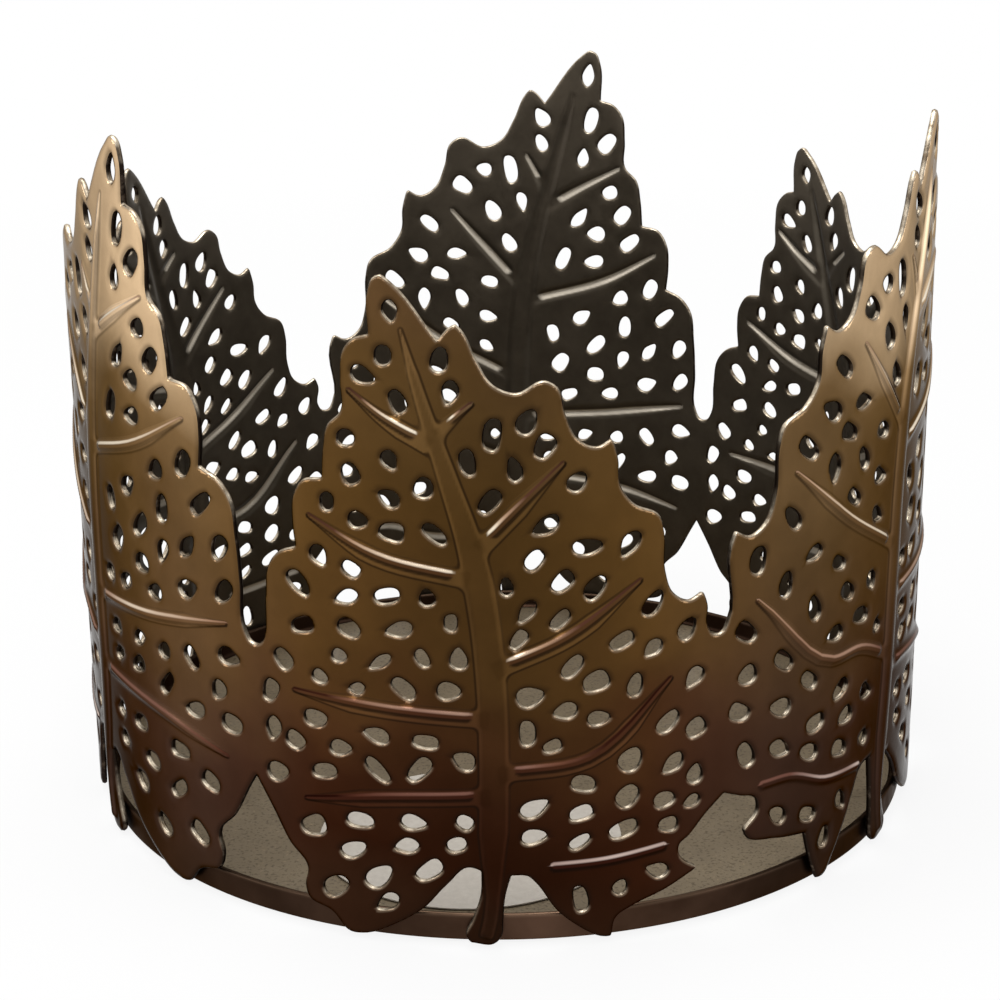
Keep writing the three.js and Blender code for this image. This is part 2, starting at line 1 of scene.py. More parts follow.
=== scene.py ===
"""Leaf-crown candle holder: perforated metal leaves in a ring on a shallow pan, dressed for rendering.

Metres, +Z up. The origin is the centre of the pan's underside, and the front leaf faces -Y.
Sizes are written in millimetres and turned into metres where a mesh is made.
"""
import math
from typing import NamedTuple

import bpy
import numpy as np
from mathutils import Matrix, Vector


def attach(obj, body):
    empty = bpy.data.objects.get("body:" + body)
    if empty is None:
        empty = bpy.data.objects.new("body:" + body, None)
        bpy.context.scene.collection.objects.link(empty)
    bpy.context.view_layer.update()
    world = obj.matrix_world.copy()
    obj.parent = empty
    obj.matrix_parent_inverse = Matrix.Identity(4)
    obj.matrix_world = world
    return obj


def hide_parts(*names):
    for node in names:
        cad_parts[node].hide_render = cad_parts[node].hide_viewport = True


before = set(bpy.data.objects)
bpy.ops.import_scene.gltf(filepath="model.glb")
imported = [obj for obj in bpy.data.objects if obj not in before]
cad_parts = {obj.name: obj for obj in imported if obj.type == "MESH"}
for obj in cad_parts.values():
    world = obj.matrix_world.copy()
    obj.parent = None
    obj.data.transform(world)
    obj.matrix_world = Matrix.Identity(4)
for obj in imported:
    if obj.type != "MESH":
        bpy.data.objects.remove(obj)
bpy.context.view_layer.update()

MM = 0.001

# Pan and leaf sheet, in millimetres
PAN_RADIUS = 55.0
PAN_WALL = 0.8
RIM_HEIGHT = 3.5
RIM_BEND = 0.6
SHEET = 0.9
SEAT_GAP = 0.3
SEAM_GAP = 0.3
SHEET_INNER_RADIUS = PAN_RADIUS + SEAT_GAP
SHEET_OUTER_RADIUS = SHEET_INNER_RADIUS + SHEET
LOW_LEAF_HEIGHT = 79.2
TALL_LEAF_HEIGHT = 91.4
FOOT_CLEARANCE = 0.3
# Heights between which a band's seam runs, and how far its outer leaves stand off the middle one
SEAM_FOOT, SEAM_TOP = 17.5, 36.0
FRONT_SPREAD, REAR_SPREAD = 1.5, 0.9

# Paper label
LABEL_RADIUS = 19.3
LABEL_THICKNESS = 0.15
LABEL_GLUE = 0.05
LABEL_CENTRE = (-3.0, -29.9)

# Leaf drawing, seen from outside with the stalk at x = 0. A leaf joins its neighbours at +-DRAWN_SIDE.
DRAWN_SIDE = 27.4
DRAWN_TOP = 79.2
DRAWN_FOOT = 0.3

STEPPED_EDGE = [
    [-26.0, 36.4], [-25.7, 41.0], [-24.9, 45.4], [-23.6, 46.8], [-21.4, 47.7],
    [-21.7, 50.8], [-21.4, 53.8], [-20.2, 55.6], [-17.8, 56.1],
    [-17.5, 59.6], [-16.9, 62.2], [-15.3, 63.8],
    [-15.2, 67.2], [-14.6, 71.0], [-13.5, 72.1], [-11.8, 72.6],
    [-11.7, 77.4], [-11.1, 78.8], [-10.2, 79.2],
]
TOOTHED_EDGE = [
    [-9.2, 78.5], [-4.1, 72.2], [-2.7, 73.7], [-2.1, 74.0], [-1.5, 73.4],
    [0.2, 69.9], [1.9, 67.3], [4.2, 66.4], [7.6, 67.7], [8.8, 67.0],
    [9.7, 64.0], [11.3, 60.9], [13.2, 60.1], [15.0, 61.0],
    [15.7, 58.4], [15.9, 55.6], [17.5, 53.3], [20.6, 51.6],
    [21.2, 49.5], [21.4, 45.0], [22.5, 42.2], [24.3, 41.2], [26.2, 42.0], [26.8, 40.4],
]
LOW_LEAF_RIGHT_LOBE = [
    [27.0, 14.0], [25.0, 11.8], [23.7, 10.7], [23.7, 9.8], [26.2, 7.4], [22.0, 5.4], [17.6, 3.8], [15.9, 2.8],
    [15.3, 0.3], [14.5, 0.3], [11.0, 2.2], [8.7, 4.3], [6.3, 7.9], [5.4, 8.8], [3.4, 9.0],
]
TALL_LEAF_RIGHT_LOBE = [
    [24.6, 13.2], [22.8, 12.5], [22.5, 11.4], [24.3, 9.4], [24.0, 8.6], [20.2, 7.2], [15.6, 6.4], [14.6, 3.2],
    [13.3, 0.3], [12.3, 0.3], [10.6, 2.2], [8.6, 5.3], [7.0, 8.3], [5.4, 10.7], [3.4, 11.0],
]
STALK_AND_LEFT_LOBE = [
    [2.7, 6.4], [2.4, 3.0], [2.2, 1.1], [1.6, 0.3], [-1.5, 0.3], [-2.0, 1.1], [-1.2, 3.4], [-0.2, 6.6],
    [-0.1, 9.6], [-1.4, 10.0], [-4.0, 7.8], [-7.0, 4.4], [-10.0, 2.3],
    [-14.6, 0.3], [-16.0, 0.3], [-18.4, 2.6], [-21.5, 4.0], [-21.9, 5.6],
    [-21.5, 7.8], [-23.8, 10.6], [-25.9, 14.4],
]
# Joints of a band, the stepped one on the left and the toothed one on the right: the notch above and the
# peak of the window below, with points written about the joint
NOTCHES = (
    [[-1.35, 36.2], [-0.6, 35.1], [0.6, 35.1], [1.35, 36.2]],
    [[-1.25, 37.6], [-0.6, 36.6], [0.6, 36.6], [1.25, 37.6]],
)
WINDOW_PEAKS = ([0.8, 18.2], [1.4, 16.2])

# Paths of midribs from tip to stalk, and of side ribs from left to right, a loose bar last
LOW_LEAF_MIDRIB = [
    [-8, 73.3], [-5.7, 65], [-3.2, 57], [-0.8, 49], [0.6, 41], [1.4, 31], [1.5, 20], [1.3, 11]
]
TALL_LEAF_MIDRIB = [
    [-8, 73.3], [-5.7, 65], [-3.4, 57], [-1.5, 49], [-0.5, 41], [-0.1, 31], [0.2, 20], [1, 11]
]
STALK_RIDGE = [[1.25, 6.5], [0.9, 3.4], [0.5, 1.6]]
LOW_LEAF_RIBS = [
    [[-14, 66.4], [-10.5, 63.7], [-6.3, 61.3]],
    [[-19.3, 51.7], [-11.5, 47.6], [-2.4, 45.6]],
    [[-22, 30.4], [-11, 29.4], [-0.5, 28.8]],
    [[-21, 17], [-10, 18.5], [-0.4, 19.2]],
    [[-3.2, 62.9], [-1.8, 64.2], [-0.5, 65.3]],
    [[1.2, 50], [5.3, 54.3], [9.4, 58.5]],
    [[3, 35.2], [10, 38.3], [18.2, 44.4]],
    [[3.5, 22.2], [12.4, 23.4], [22, 32.2]],
    [[8.4, 10.2], [14.5, 10.4], [21.4, 11.2]],
]
TALL_LEAF_RIBS = [
    [[-14.3, 63.7], [-9.7, 61.3], [-5.6, 59]],
    [[-19.6, 52.3], [-12.5, 48.4], [-2.8, 45.6]],
    [[-24, 31.8], [-12.5, 29.8], [-1.9, 29]],
    [[-23.4, 17.2], [-14.6, 19.2], [-5, 20.3], [-1.9, 20.5]],
    [[-3.5, 61.8], [-2.6, 63.5], [-1.7, 65.1]],
    [[0.6, 48.8], [4.8, 53.5], [8.7, 58]],
    [[1.9, 35.3], [10.4, 40], [18.9, 46.7]],
    [[2.1, 22.8], [7.4, 24.9], [12.4, 25.1], [23.5, 34.3]],
    [[6.7, 11.3], [13, 11.9], [18.6, 13.9], [22.2, 14]],
]
# Holes: middle x and z, length, width, and tilt in degrees
LOW_LEAF_HOLES = [
    [-9.2, 75.3, 2.6, 1.7, 100], [-10.2, 70.4, 2.3, 1.9, 90], [-12.4, 68.2, 3.1, 1.8, -28],
    [-8.7, 65.3, 2.8, 1.7, -65], [-3.9, 70.1, 3, 1.9, 80], [-2.9, 66.5, 2.9, 1.8, 80],
    [1.9, 61.8, 3.9, 2, 82], [5.6, 63.2, 3.2, 2.1, 62], [7.4, 60.4, 3, 2.1, 60],
    [-0.9, 58.7, 3.2, 1.7, -78], [4, 57.9, 3, 1.6, -80], [1.4, 54.2, 3.3, 1.8, 50],
    [11, 56.3, 2.6, 1.9, 45], [7.5, 51.5, 3.6, 1.9, 35], [-14.7, 60.8, 2.1, 1.9, 0],
    [-9.7, 58.7, 2.4, 1.7, -60], [-14.2, 56.9, 2.6, 2, -65], [-6.1, 55.8, 2.5, 2.2, 70],
    [-9.9, 54.3, 2.8, 1.9, -35], [-17.2, 53.4, 2.2, 1.6, 90], [-13.5, 51.7, 2.4, 1.9, -10],
    [-9.7, 50.3, 3, 2.1, -10], [-4.8, 50.4, 3.4, 1.5, -40], [-18.4, 47, 2.7, 1.9, -60],
    [-14.5, 45.9, 2.4, 1.7, -30], [-21.2, 43.3, 3.8, 2, -45], [-15.2, 42.4, 3.1, 1.7, 20],
    [-10.4, 43, 3.2, 1.9, 12], [-5.9, 43, 2.1, 1.8, 90], [-20.8, 38.3, 3, 1.9, 15],
    [-15, 38.7, 3, 2.1, -30], [-9.1, 39.1, 3.4, 1.8, 15], [-3, 40.1, 2.1, 1.5, 90],
    [-16.3, 35.2, 1.9, 1.6, 0], [-11.4, 35, 3.2, 1.3, 33], [-6.4, 35.8, 2.4, 1.4, -60],
    [-2.2, 35.9, 2.7, 2, 100], [-23.6, 33.8, 2.9, 2.1, -50], [-18.8, 32.4, 2.1, 1.6, -30],
    [-14.3, 31.6, 2, 1.3, 10], [-8.8, 31.9, 3.4, 1.8, -40], [-3.5, 31.9, 2.9, 2.1, 0],
    [-25.6, 29.6, 3, 2, 70], [-19.6, 27.3, 3.1, 2.1, -5], [-12.1, 25.9, 3.3, 1.8, -18],
    [-6.3, 25.6, 3.2, 1.6, -5], [12.2, 48.8, 3.6, 1.8, 3], [17.2, 48.6, 3.5, 1.9, 52],
    [6.3, 47.4, 2.8, 1.8, 50], [3.1, 44.4, 2.3, 1.4, 95], [9.3, 44.9, 3, 1.9, 45],
    [13.2, 43.8, 3.4, 1.9, 52], [5.4, 41.4, 3.2, 1.5, 55], [9.1, 40.4, 2.9, 1.4, 45],
    [19.8, 41.5, 3.6, 1.8, 52], [4.5, 38.1, 2.6, 1.4, 50], [17.1, 18.1, 3.2, 2.5, 45],
    [6.1, 17.6, 3.8, 2, 25], [11.6, 16.4, 3, 1.8, 15], [21.7, 16.9, 2.8, 2, 10],
    [25.2, 16.2, 2.3, 1.5, 20], [16.6, 14.1, 3.8, 2, 20], [6.1, 13.8, 3.2, 1.8, 12],
    [22.2, 13.7, 2.5, 1.8, -5], [11.4, 13, 2.9, 1.4, 30], [20.9, 8.2, 3.1, 1.8, -15],
    [11.4, 5.6, 3.6, 1.8, -80], [16.3, 6.6, 2, 1.7, 60], [-25.4, 24.9, 3.2, 2.1, 85],
    [-22.3, 24.1, 2.7, 2.2, -30], [-16.5, 23.8, 2.9, 1.9, 5], [-7.1, 22.1, 3.8, 1.9, 48],
    [-12, 21.7, 4.1, 1.6, -46], [-2, 23.3, 2.9, 2.2, -35], [-18.7, 20.6, 3.3, 1.8, 8],
    [-25, 19.5, 3.1, 2.4, 10], [-20.5, 13.6, 3.5, 2.5, 20], [-14.4, 14.9, 3.6, 1.9, 0],
    [-7.9, 15.4, 3.3, 1.9, -5], [-1.9, 15.8, 2.1, 1.8, -30], [-15.4, 11.3, 3.6, 1.9, 22],
    [-8.8, 12.3, 3.2, 1.9, 10], [-2.9, 12.9, 2.5, 1.8, 20], [-12.3, 8.2, 4.2, 2.4, 38],
    [-6.3, 9.6, 3.8, 2, 38], [-17.7, 6, 3.8, 2.4, 35], [-11.3, 4.9, 3.4, 1.9, 38],
    [16.2, 37.4, 3.2, 1.7, 28], [24.3, 37.7, 3, 1.9, 60], [20, 36, 2.7, 1.8, 40],
    [10.5, 34.7, 3.4, 1.7, 48], [5.7, 31.4, 3.4, 2.4, 8], [13.3, 32.5, 3.3, 2.4, 20],
    [17.9, 31.8, 3, 1.7, 75], [9.7, 29.4, 3, 2, 15], [5.2, 26.8, 3.2, 1.9, 92],
    [13.6, 28.1, 2.8, 1.7, 8], [8.2, 25.1, 2.3, 1.4, 20], [21.9, 26.8, 3.5, 1.9, 42],
    [25.3, 31.6, 3, 1.9, 45], [25.6, 25.3, 2.7, 2.3, 30], [17.4, 22.7, 3.3, 2.7, 50],
    [22.6, 21.5, 3.3, 2, 42], [11.8, 20.1, 3.1, 2, -15], [25.6, 19.6, 2.6, 2, 80],
]
TALL_LEAF_HOLES = [
    [-10.1, 75.9, 3.6, 1.9, -82], [-10.4, 70, 4.1, 2.1, -75], [-3.8, 70.4, 3.2, 2.2, 50],
    [-12.8, 66.9, 3.5, 2.3, -50], [-3.6, 66.9, 2.8, 1.8, 65], [-9.3, 65, 3, 1.8, -80],
    [0.8, 63.3, 4.5, 2.1, 80], [4.3, 63.3, 2.5, 2, 20], [7.2, 61.3, 3.3, 2.3, 35],
    [-13.1, 60.5, 2.5, 2.1, -20], [-0.8, 58.9, 3.1, 1.6, 75], [-15, 57.4, 3.3, 2.3, -52],
    [3.1, 57.8, 3.5, 2.3, 60], [-8.8, 56.9, 3.8, 1.8, -48], [12, 56.2, 3.5, 1.8, 42],
    [-11.2, 54.7, 3, 2.3, 0], [-16, 53.8, 3.6, 2, -38], [0.8, 53.4, 3.2, 2, 55],
    [8.2, 51.9, 3.2, 1.7, 0], [-6.6, 51.2, 3.8, 2, -65], [-10.9, 51, 3.2, 1.9, -10],
    [10.6, 49.1, 3, 1.8, 20], [3.7, 47.9, 2.8, 1.8, 15], [13.6, 52.1, 3.5, 2.1, 28],
    [16.9, 48.9, 3.6, 1.9, 42], [7.7, 45.8, 3, 1.8, 65], [12.9, 45.9, 3.6, 2, 90],
    [-19, 47.6, 3.3, 2.2, -65], [-14.6, 46.1, 2.7, 2.1, -40], [-21.3, 43.8, 3.8, 1.7, -42],
    [-15.4, 42.1, 3.4, 2, 95], [-9.2, 43.2, 3.2, 2.1, -30], [-5, 40.7, 2.8, 1.9, 75],
    [-23.5, 39.6, 3.2, 2.1, -60], [-19, 38.9, 3.4, 1.8, -50], [-11.2, 39.4, 3.7, 2, -45],
    [-15.2, 37.4, 2.9, 1.8, -65], [-6.3, 36.6, 3.2, 2.4, -55], [-23.7, 35.1, 3.2, 2, -50],
    [-18.7, 34.4, 3.4, 2.2, -15], [-11.2, 35, 2.8, 2.2, 0], [-13.3, 32.5, 2.8, 1.8, -5],
    [-7.5, 32.2, 2.7, 1.7, -20], [-3.6, 32.1, 2.4, 1.8, 0], [-24, 28.1, 3.3, 2, 5],
    [-18.8, 26.8, 3, 1.9, 50], [-14.3, 26.4, 2.2, 1.9, -20], [-9.8, 26.3, 2.6, 1.7, -25],
    [-4.4, 26, 2.6, 1.6, -5], [-22.4, 24.2, 2.5, 2.1, -60], [-14.5, 22.8, 3.4, 1.6, -50],
    [-9.2, 23.1, 3, 1.8, -20], [-4.8, 23, 2.5, 1.6, -20], [-24, 20.9, 3.1, 2.2, 10],
    [-18.9, 21.2, 3.3, 1.8, -12], [-16.2, 15.6, 3.5, 1.8, 0], [-8.9, 16.4, 3.2, 1.8, -5],
    [-4.2, 16.4, 2.1, 1.7, -20], [-20.6, 13.3, 3, 2.1, 20], [-11, 12.7, 3.2, 1.9, 10],
    [-4.8, 13, 2.4, 1.7, 15], [-15.6, 11.2, 3.4, 1.7, -35], [-8.4, 9.4, 3.2, 2, 30],
    [-18.6, 6.9, 3.4, 2.2, 35], [-12.7, 5.9, 3.2, 1.9, 35], [3.9, 43.2, 3, 1.7, 18],
    [9.2, 42, 2.8, 1.6, 35], [18.9, 42, 3.4, 1.7, 52], [4.2, 39, 2.6, 1.6, 35],
    [23.2, 38.4, 3.3, 2.1, 100], [15.6, 37.5, 2.8, 1.5, -20], [11.4, 35.5, 2.5, 1.5, 20],
    [19.5, 35.1, 3.1, 1.8, 100], [5, 31.8, 2.3, 1.9, 60], [9.7, 31.9, 2.7, 1.9, 30],
    [15.2, 31.6, 3.2, 1.9, 75], [24.5, 31.2, 3.1, 2, 40], [6.9, 28.4, 3.3, 1.8, 10],
    [11.7, 27.8, 3, 1.7, -5], [19.5, 27, 3.2, 1.9, 40], [24.4, 26.6, 2.6, 2.2, -30],
    [3.1, 26.2, 1.6, 1.5, 0], [15.7, 23.8, 3, 1.8, 35], [19.8, 22, 3.3, 2.1, 10],
    [25.1, 22.8, 2.9, 2, 25], [10.3, 21.2, 3.2, 1.8, -30], [5.1, 19.4, 2.7, 1.8, 20],
    [14.5, 18.8, 3.2, 2, -10], [9.2, 17.8, 2.9, 1.9, -10], [19.8, 17.3, 3.3, 2, 25],
    [24.2, 17.8, 3.3, 2.1, 65], [5.3, 14.2, 2, 1.7, 0], [10.2, 14.4, 3, 1.9, 15],
    [15.4, 15.7, 3.2, 1.9, 20], [9.5, 8.3, 2.7, 1.7, 60], [15.2, 8.7, 2.9, 1.7, 20],
    [19.8, 9.8, 2.9, 1.8, 40], [12.4, 5, 2.6, 1.6, -75],
]

# A low and a tall leaf share a third of the sheet's length, in proportion to their heights
PAIR_WIDTH = 2 * math.pi * SHEET_OUTER_RADIUS / 3
TALL_SHARE = TALL_LEAF_HEIGHT / (LOW_LEAF_HEIGHT + TALL_LEAF_HEIGHT)
LOW_HALF_WIDTH = PAIR_WIDTH * (1 - TALL_SHARE) / 2
TALL_HALF_WIDTH = PAIR_WIDTH * TALL_SHARE / 2

# Sheet: step of its grid, reach of the distances on it, rounding of cut edges, faint unevenness of its
# face, and the turn in degrees past which a drawn corner stays sharp
GRID = 0.28
REACH = 4.0
EDGE_BULGE = 0.14
EDGE_ROUNDING = 0.22
EDGE_WIDTH = 0.5
WOBBLE = 0.05
SHARP_TURN = 58.0

# Relief: heights pressed into the sheet, and how much of ribs and edge rounding the inner face shows
BAND_RISE = 0.2
CROWN_RISE = 0.26
BEAD_RISE = 0.34
RIB_TOP = 0.54
INNER_RELIEF, INNER_ROUNDING = 0.9, 0.3

# Midrib: half widths at the tip, once begun, in full and at the stalk, and the stretches between them,
# the first two from the tip and the last from the stalk's end
MIDRIB_TIP, MIDRIB_BEGUN, MIDRIB_FULL, MIDRIB_FOOT = 0.14, 0.5, 1.65, 0.8
MIDRIB_START, MIDRIB_GROWTH, MIDRIB_CLOSE = (0.0, 5.0), (4.0, 30.0), (5.0, 13.0)

# How far bands and crowns run on past the ends of their paths, and the softness of their borders
MIDRIB_OVERRUN, CROWN_OVERRUN, BAND_OVERRUN = 0.4, 0.3, 0.2
SOFTNESS = 0.2

# Bands of side ribs: length into the midrib, reach off the path at the tip and above it in full, stretch
# over which they grow, and rounding of the corners between bands
BAND_REACH = 1.2
BAND_TIP, BAND_UPPER, BAND_GROWTH = 0.15, 0.9, 7.0
PANEL_ROUNDING = 0.8

# Beads: share of their size at the tip, stretch over which they grow, stop before the midrib, place above
# the path, half widths and share of the rise, then the loose bars and the strength of their painted
# highlight, and how late the painted glint comes
BEAD_TIP, BEAD_GROWTH = 0.06, 9.0
BEAD_STOP, BEAD_ABOVE = 1.2, 0.2
BEAD_TIP_HALF, BEAD_HALF, BEAD_TIP_RISE = 0.38, 0.68, 0.3
BAR_HALF, BAR_GLOW = 0.72, 0.9
GLINT_POWER = 14

# Direction of the painted light and shade on the flanks of bands and crowns: its upward share, and its
# share to the right, which turns about between two heights
FLANK_UP = 0.78
FLANK_RIGHT = 0.5, -0.62
FLANK_TURN = 44.0, 56.0

# Length over which a leaf's tone goes over to its neighbour's
JOINT_FADE = 8.0


class Drawing(NamedTuple):
    """What a leaf is cut and pressed from. The last of the ribs is a loose bar. The skirt is how far a side
    rib's band reaches below its path. A bead's glow, the strength of its painted highlight, is given for its
    outer end, and for its inner end on the stepped and on the toothed side of the midrib."""
    height: float
    half_width: float
    lobe: list
    midrib: list
    ribs: list
    holes: list
    hole_share: float
    skirt: float
    outer_glow: float
    inner_glow: tuple


LOW_LEAF = Drawing(
    LOW_LEAF_HEIGHT, LOW_HALF_WIDTH, LOW_LEAF_RIGHT_LOBE,
    LOW_LEAF_MIDRIB, LOW_LEAF_RIBS, LOW_LEAF_HOLES,
    hole_share=0.9, skirt=1.05, outer_glow=0.0, inner_glow=(1.0, 0.4),
)
TALL_LEAF = Drawing(
    TALL_LEAF_HEIGHT, TALL_HALF_WIDTH, TALL_LEAF_RIGHT_LOBE,
    TALL_LEAF_MIDRIB, TALL_LEAF_RIBS, TALL_LEAF_HOLES,
    hole_share=0.83, skirt=0.7, outer_glow=0.3, inner_glow=(1.0, 0.75),
)


class Leaf:
    """One leaf of a band: the drawing that it is made from, and whether it leans the other way."""

    def __init__(self, name, drawing, turned):
        self.name = name
        self.drawing = drawing
        self.turned = turned
        self.side = -1.0 if turned else 1.0
        self.tall = drawing is TALL_LEAF
        self.half_width = drawing.half_width
        self.holes = np.array(drawing.holes)
        self.hole_scale = drawing.hole_share * drawing.half_width / DRAWN_SIDE
        self.up = (drawing.height - FOOT_CLEARANCE) / (DRAWN_TOP - DRAWN_FOOT)
        self.stand(0.0, 0.0, 0.0)

    def stand(self, middle, wider_stepped, wider_toothed):
        """Sets where the stalk stands along the sheet, and how much wider each half is than drawn."""
        self.middle = middle
        self.halves = self.half_width + wider_stepped, self.half_width + wider_toothed

    def place(self, drawn):
        """Drawn points stretched to this leaf, mirrored if it is turned, and moved to its stalk."""
        points = np.asarray(drawn, float)
        half = np.where(points[:, 0] < 0, *self.halves) * self.side
        x = self.middle + points[:, 0] / DRAWN_SIDE * half
        return np.stack([x, FOOT_CLEARANCE + (points[:, 1] - DRAWN_FOOT) * self.up], 1)

    def off_midrib(self, point):
        """How far a drawn point lies to the right of the midrib."""
        rising = np.array(self.drawing.midrib)[::-1]
        return point[0] - np.interp(point[1], rising[:, 1], rising[:, 0])


FRONT_LEAVES = [
    Leaf("leaf_left", TALL_LEAF, True), Leaf("leaf_front", LOW_LEAF, False),
    Leaf("leaf_right", TALL_LEAF, True),
]
REAR_LEAVES = [
    Leaf("leaf_rear_right", LOW_LEAF, True), Leaf("leaf_rear", TALL_LEAF, False),
    Leaf("leaf_rear_left", LOW_LEAF, True),
]


def smooth(points, closed, fixed=None, steps=6):
    """Curve through the points: cubic Hermite steps. The tangent at a point is the mean direction of its
    two chords, the shorter chord counting more, or each chord's own direction at a sharp or fixed corner."""
    count = len(points)
    chord = np.roll(points, -1, 0) - points
    length = np.maximum(np.hypot(chord[:, 0], chord[:, 1]), 1e-9)[:, None]
    ahead = chord / length
    behind = np.roll(ahead, 1, 0)
    tangent = behind * length + ahead * np.roll(length, 1, 0)
    tangent /= np.maximum(np.linalg.norm(tangent, axis=1, keepdims=True), 1e-9)
    turn = np.degrees(np.arccos(np.clip((ahead * behind).sum(1), -1, 1)))
    sharp = turn > SHARP_TURN
    if fixed is not None:
        sharp |= fixed
    if not closed:
        sharp[[0, -1]] = True
    leave = np.where(sharp[:, None], ahead, tangent)
    arrive = np.roll(np.where(sharp[:, None], behind, tangent), -1, 0)
    t = np.linspace(0, 1, steps, endpoint=False)[:, None, None]
    curve = (
        (2 * t**3 - 3 * t**2 + 1) * points
        + (t**3 - 2 * t**2 + t) * leave * length
        + (3 * t**2 - 2 * t**3) * np.roll(points, -1, 0)
        + (t**3 - t**2) * arrive * length
    )
    if closed:
        return curve.transpose(1, 0, 2).reshape(-1, 2)
    return np.concatenate([curve[:, : count - 1].transpose(1, 0, 2).reshape(-1, 2), points[-1:]])


def band_joints(leaves, spread):
    """Where the left and the middle leaf of a band meet along the sheet, and the middle and the right one."""
    half = leaves[1].half_width
    return -half, half + spread / 2


def band_outline(leaves, spread):
    """Outline of three joined leaves on the flat sheet: lower edges from left to right, right seam,
    upper edges from right to left, left seam. Neighbours share a window below and a notch above. The
    outer leaves stand away from the middle one by the spread, between the same seams."""
    left, middle, right = leaves
    left.stand(-left.half_width - middle.half_width - spread, spread, -spread)
    right.stand(middle.half_width + right.half_width + spread, -spread, 0.0)
    left_seam = -middle.half_width - 2 * left.half_width + SEAM_GAP / 2
    right_seam = middle.half_width + 2 * right.half_width - SEAM_GAP / 2
    lower, upper = [[[left_seam, SEAM_FOOT]]], [[[left_seam, SEAM_TOP]]]
    joints = zip([None, *band_joints(leaves, spread)], [None, *NOTCHES], [None, *WINDOW_PEAKS])
    for before, leaf, (joint, notch, peak) in zip([None, *leaves], leaves, joints):
        if before:
            lean = peak[0] * np.sign(leaf.drawing.height - before.drawing.height)
            lower.append([[joint + lean, peak[1]]])
            upper.append(np.array(notch) + [joint, 0.0])
        low_edge = leaf.place(leaf.drawing.lobe + STALK_AND_LEFT_LOBE)
        high_edge = leaf.place(STEPPED_EDGE + TOOTHED_EDGE)
        lower.append(low_edge if leaf.turned else low_edge[::-1])
        upper.append(high_edge[::-1] if leaf.turned else high_edge)
    lower.append([[right_seam, SEAM_FOOT]])
    upper.append([[right_seam, SEAM_TOP]])
    points = np.concatenate(lower + [np.concatenate(upper)[::-1]])
    on_seam = (np.abs(points[:, 0] - left_seam) < 1e-6) | (np.abs(points[:, 0] - right_seam) < 1e-6)
    return smooth(points, True, on_seam)


def window(axis, low, high):
    """Slice of a grid axis that covers the span from low to high with REACH to spare."""
    return slice(*np.searchsorted(axis, [low - REACH, high + REACH]))


def outline_field(s, z, loop):
    """Signed distance to a closed loop on the grid, below zero inside: the least distance to its steps,
    each worked out in a window, with the sign from an even-odd count along each grid row."""
    distance = np.full((len(z), len(s)), REACH)
    ends = np.roll(loop, -1, 0)
    for start, end in zip(loop, ends):
        cols = window(s, min(start[0], end[0]), max(start[0], end[0]))
        rows = window(z, min(start[1], end[1]), max(start[1], end[1]))
        u, v = s[None, cols] - start[0], z[rows, None] - start[1]
        du, dv = end - start
        along = np.clip((u * du + v * dv) / (du * du + dv * dv + 1e-12), 0, 1)
        patch = distance[rows, cols]
        np.minimum(patch, np.hypot(u - along * du, v - along * dv), out=patch)
    inside = np.zeros(distance.shape, bool)
    for row, height in enumerate(z):
        crosses = (loop[:, 1] <= height) != (ends[:, 1] <= height)
        a, b = loop[crosses], ends[crosses]
        cuts = np.sort(a[:, 0] + (height - a[:, 1]) * (b[:, 0] - a[:, 0]) / (b[:, 1] - a[:, 1]))
        inside[row] = np.searchsorted(cuts, s) % 2 == 1
    return np.where(inside, -distance, distance)


def passed(value, low, high):
    """How far a value has come from low to high, kept between 0 and 1."""
    return np.clip((value - low) / (high - low), 0, 1)


def between(first, last, share):
    """The value at a share of the way from first to last."""
    return first + (last - first) * share


def varied(index, step, start, least, most):
    """A value between least and most that changes from hole to hole, in steps that don't soon repeat."""
    return between(least, most, (index * step + start) % 1)


def cut_holes(field, s, z, leaf):
    """Cuts a leaf's perforations into the field. Each is an uneven egg: with u along and v across it,
    (|u|/a)^n + (|v|/(b(1 - k u/a)(1 + m sign v)))^n = 1. A low n gives a pointed lens and a high one a
    rounded block, k makes one end blunt and m flattens one side; all three change from hole to hole. The
    distance to it is taken as (rho - 1) over the slope of rho, its radius in egg units."""
    centres = leaf.place(leaf.holes[:, :2])
    for index, (centre, hole) in enumerate(zip(centres, leaf.holes)):
        length, width = hole[2:4] * leaf.hole_scale / 2
        tilt = math.radians(hole[4])
        power = varied(index, 0.618, 0.0, 1.55, 2.8)
        taper = varied(index, 0.382, 0.2, -0.4, 0.4)
        flat = varied(index, 0.731, 0.6, -0.25, 0.25)
        cols = window(s, centre[0], centre[0])
        rows = window(z, centre[1], centre[1])
        x, y = (s[None, cols] - centre[0]) * leaf.side, z[rows, None] - centre[1]
        u = (x * math.cos(tilt) + y * math.sin(tilt)) / length
        v = (y * math.cos(tilt) - x * math.sin(tilt)) / width
        v = v / np.clip(1 - taper * u, 0.45, 1.5) / (1 + flat * np.tanh(3 * v))
        rho = (np.abs(u) ** power + np.abs(v) ** power + 1e-9) ** (1 / power)
        slope = np.hypot(*np.gradient(rho, GRID))
        patch = field[rows, cols]
        np.maximum(patch, (1 - rho) / np.maximum(slope, 0.05), out=patch)


def rise(value, soft):
    """Smooth step from 0 to 1 about zero, over about twice the given softness."""
    return 0.5 + 0.5 * np.tanh(value / soft)


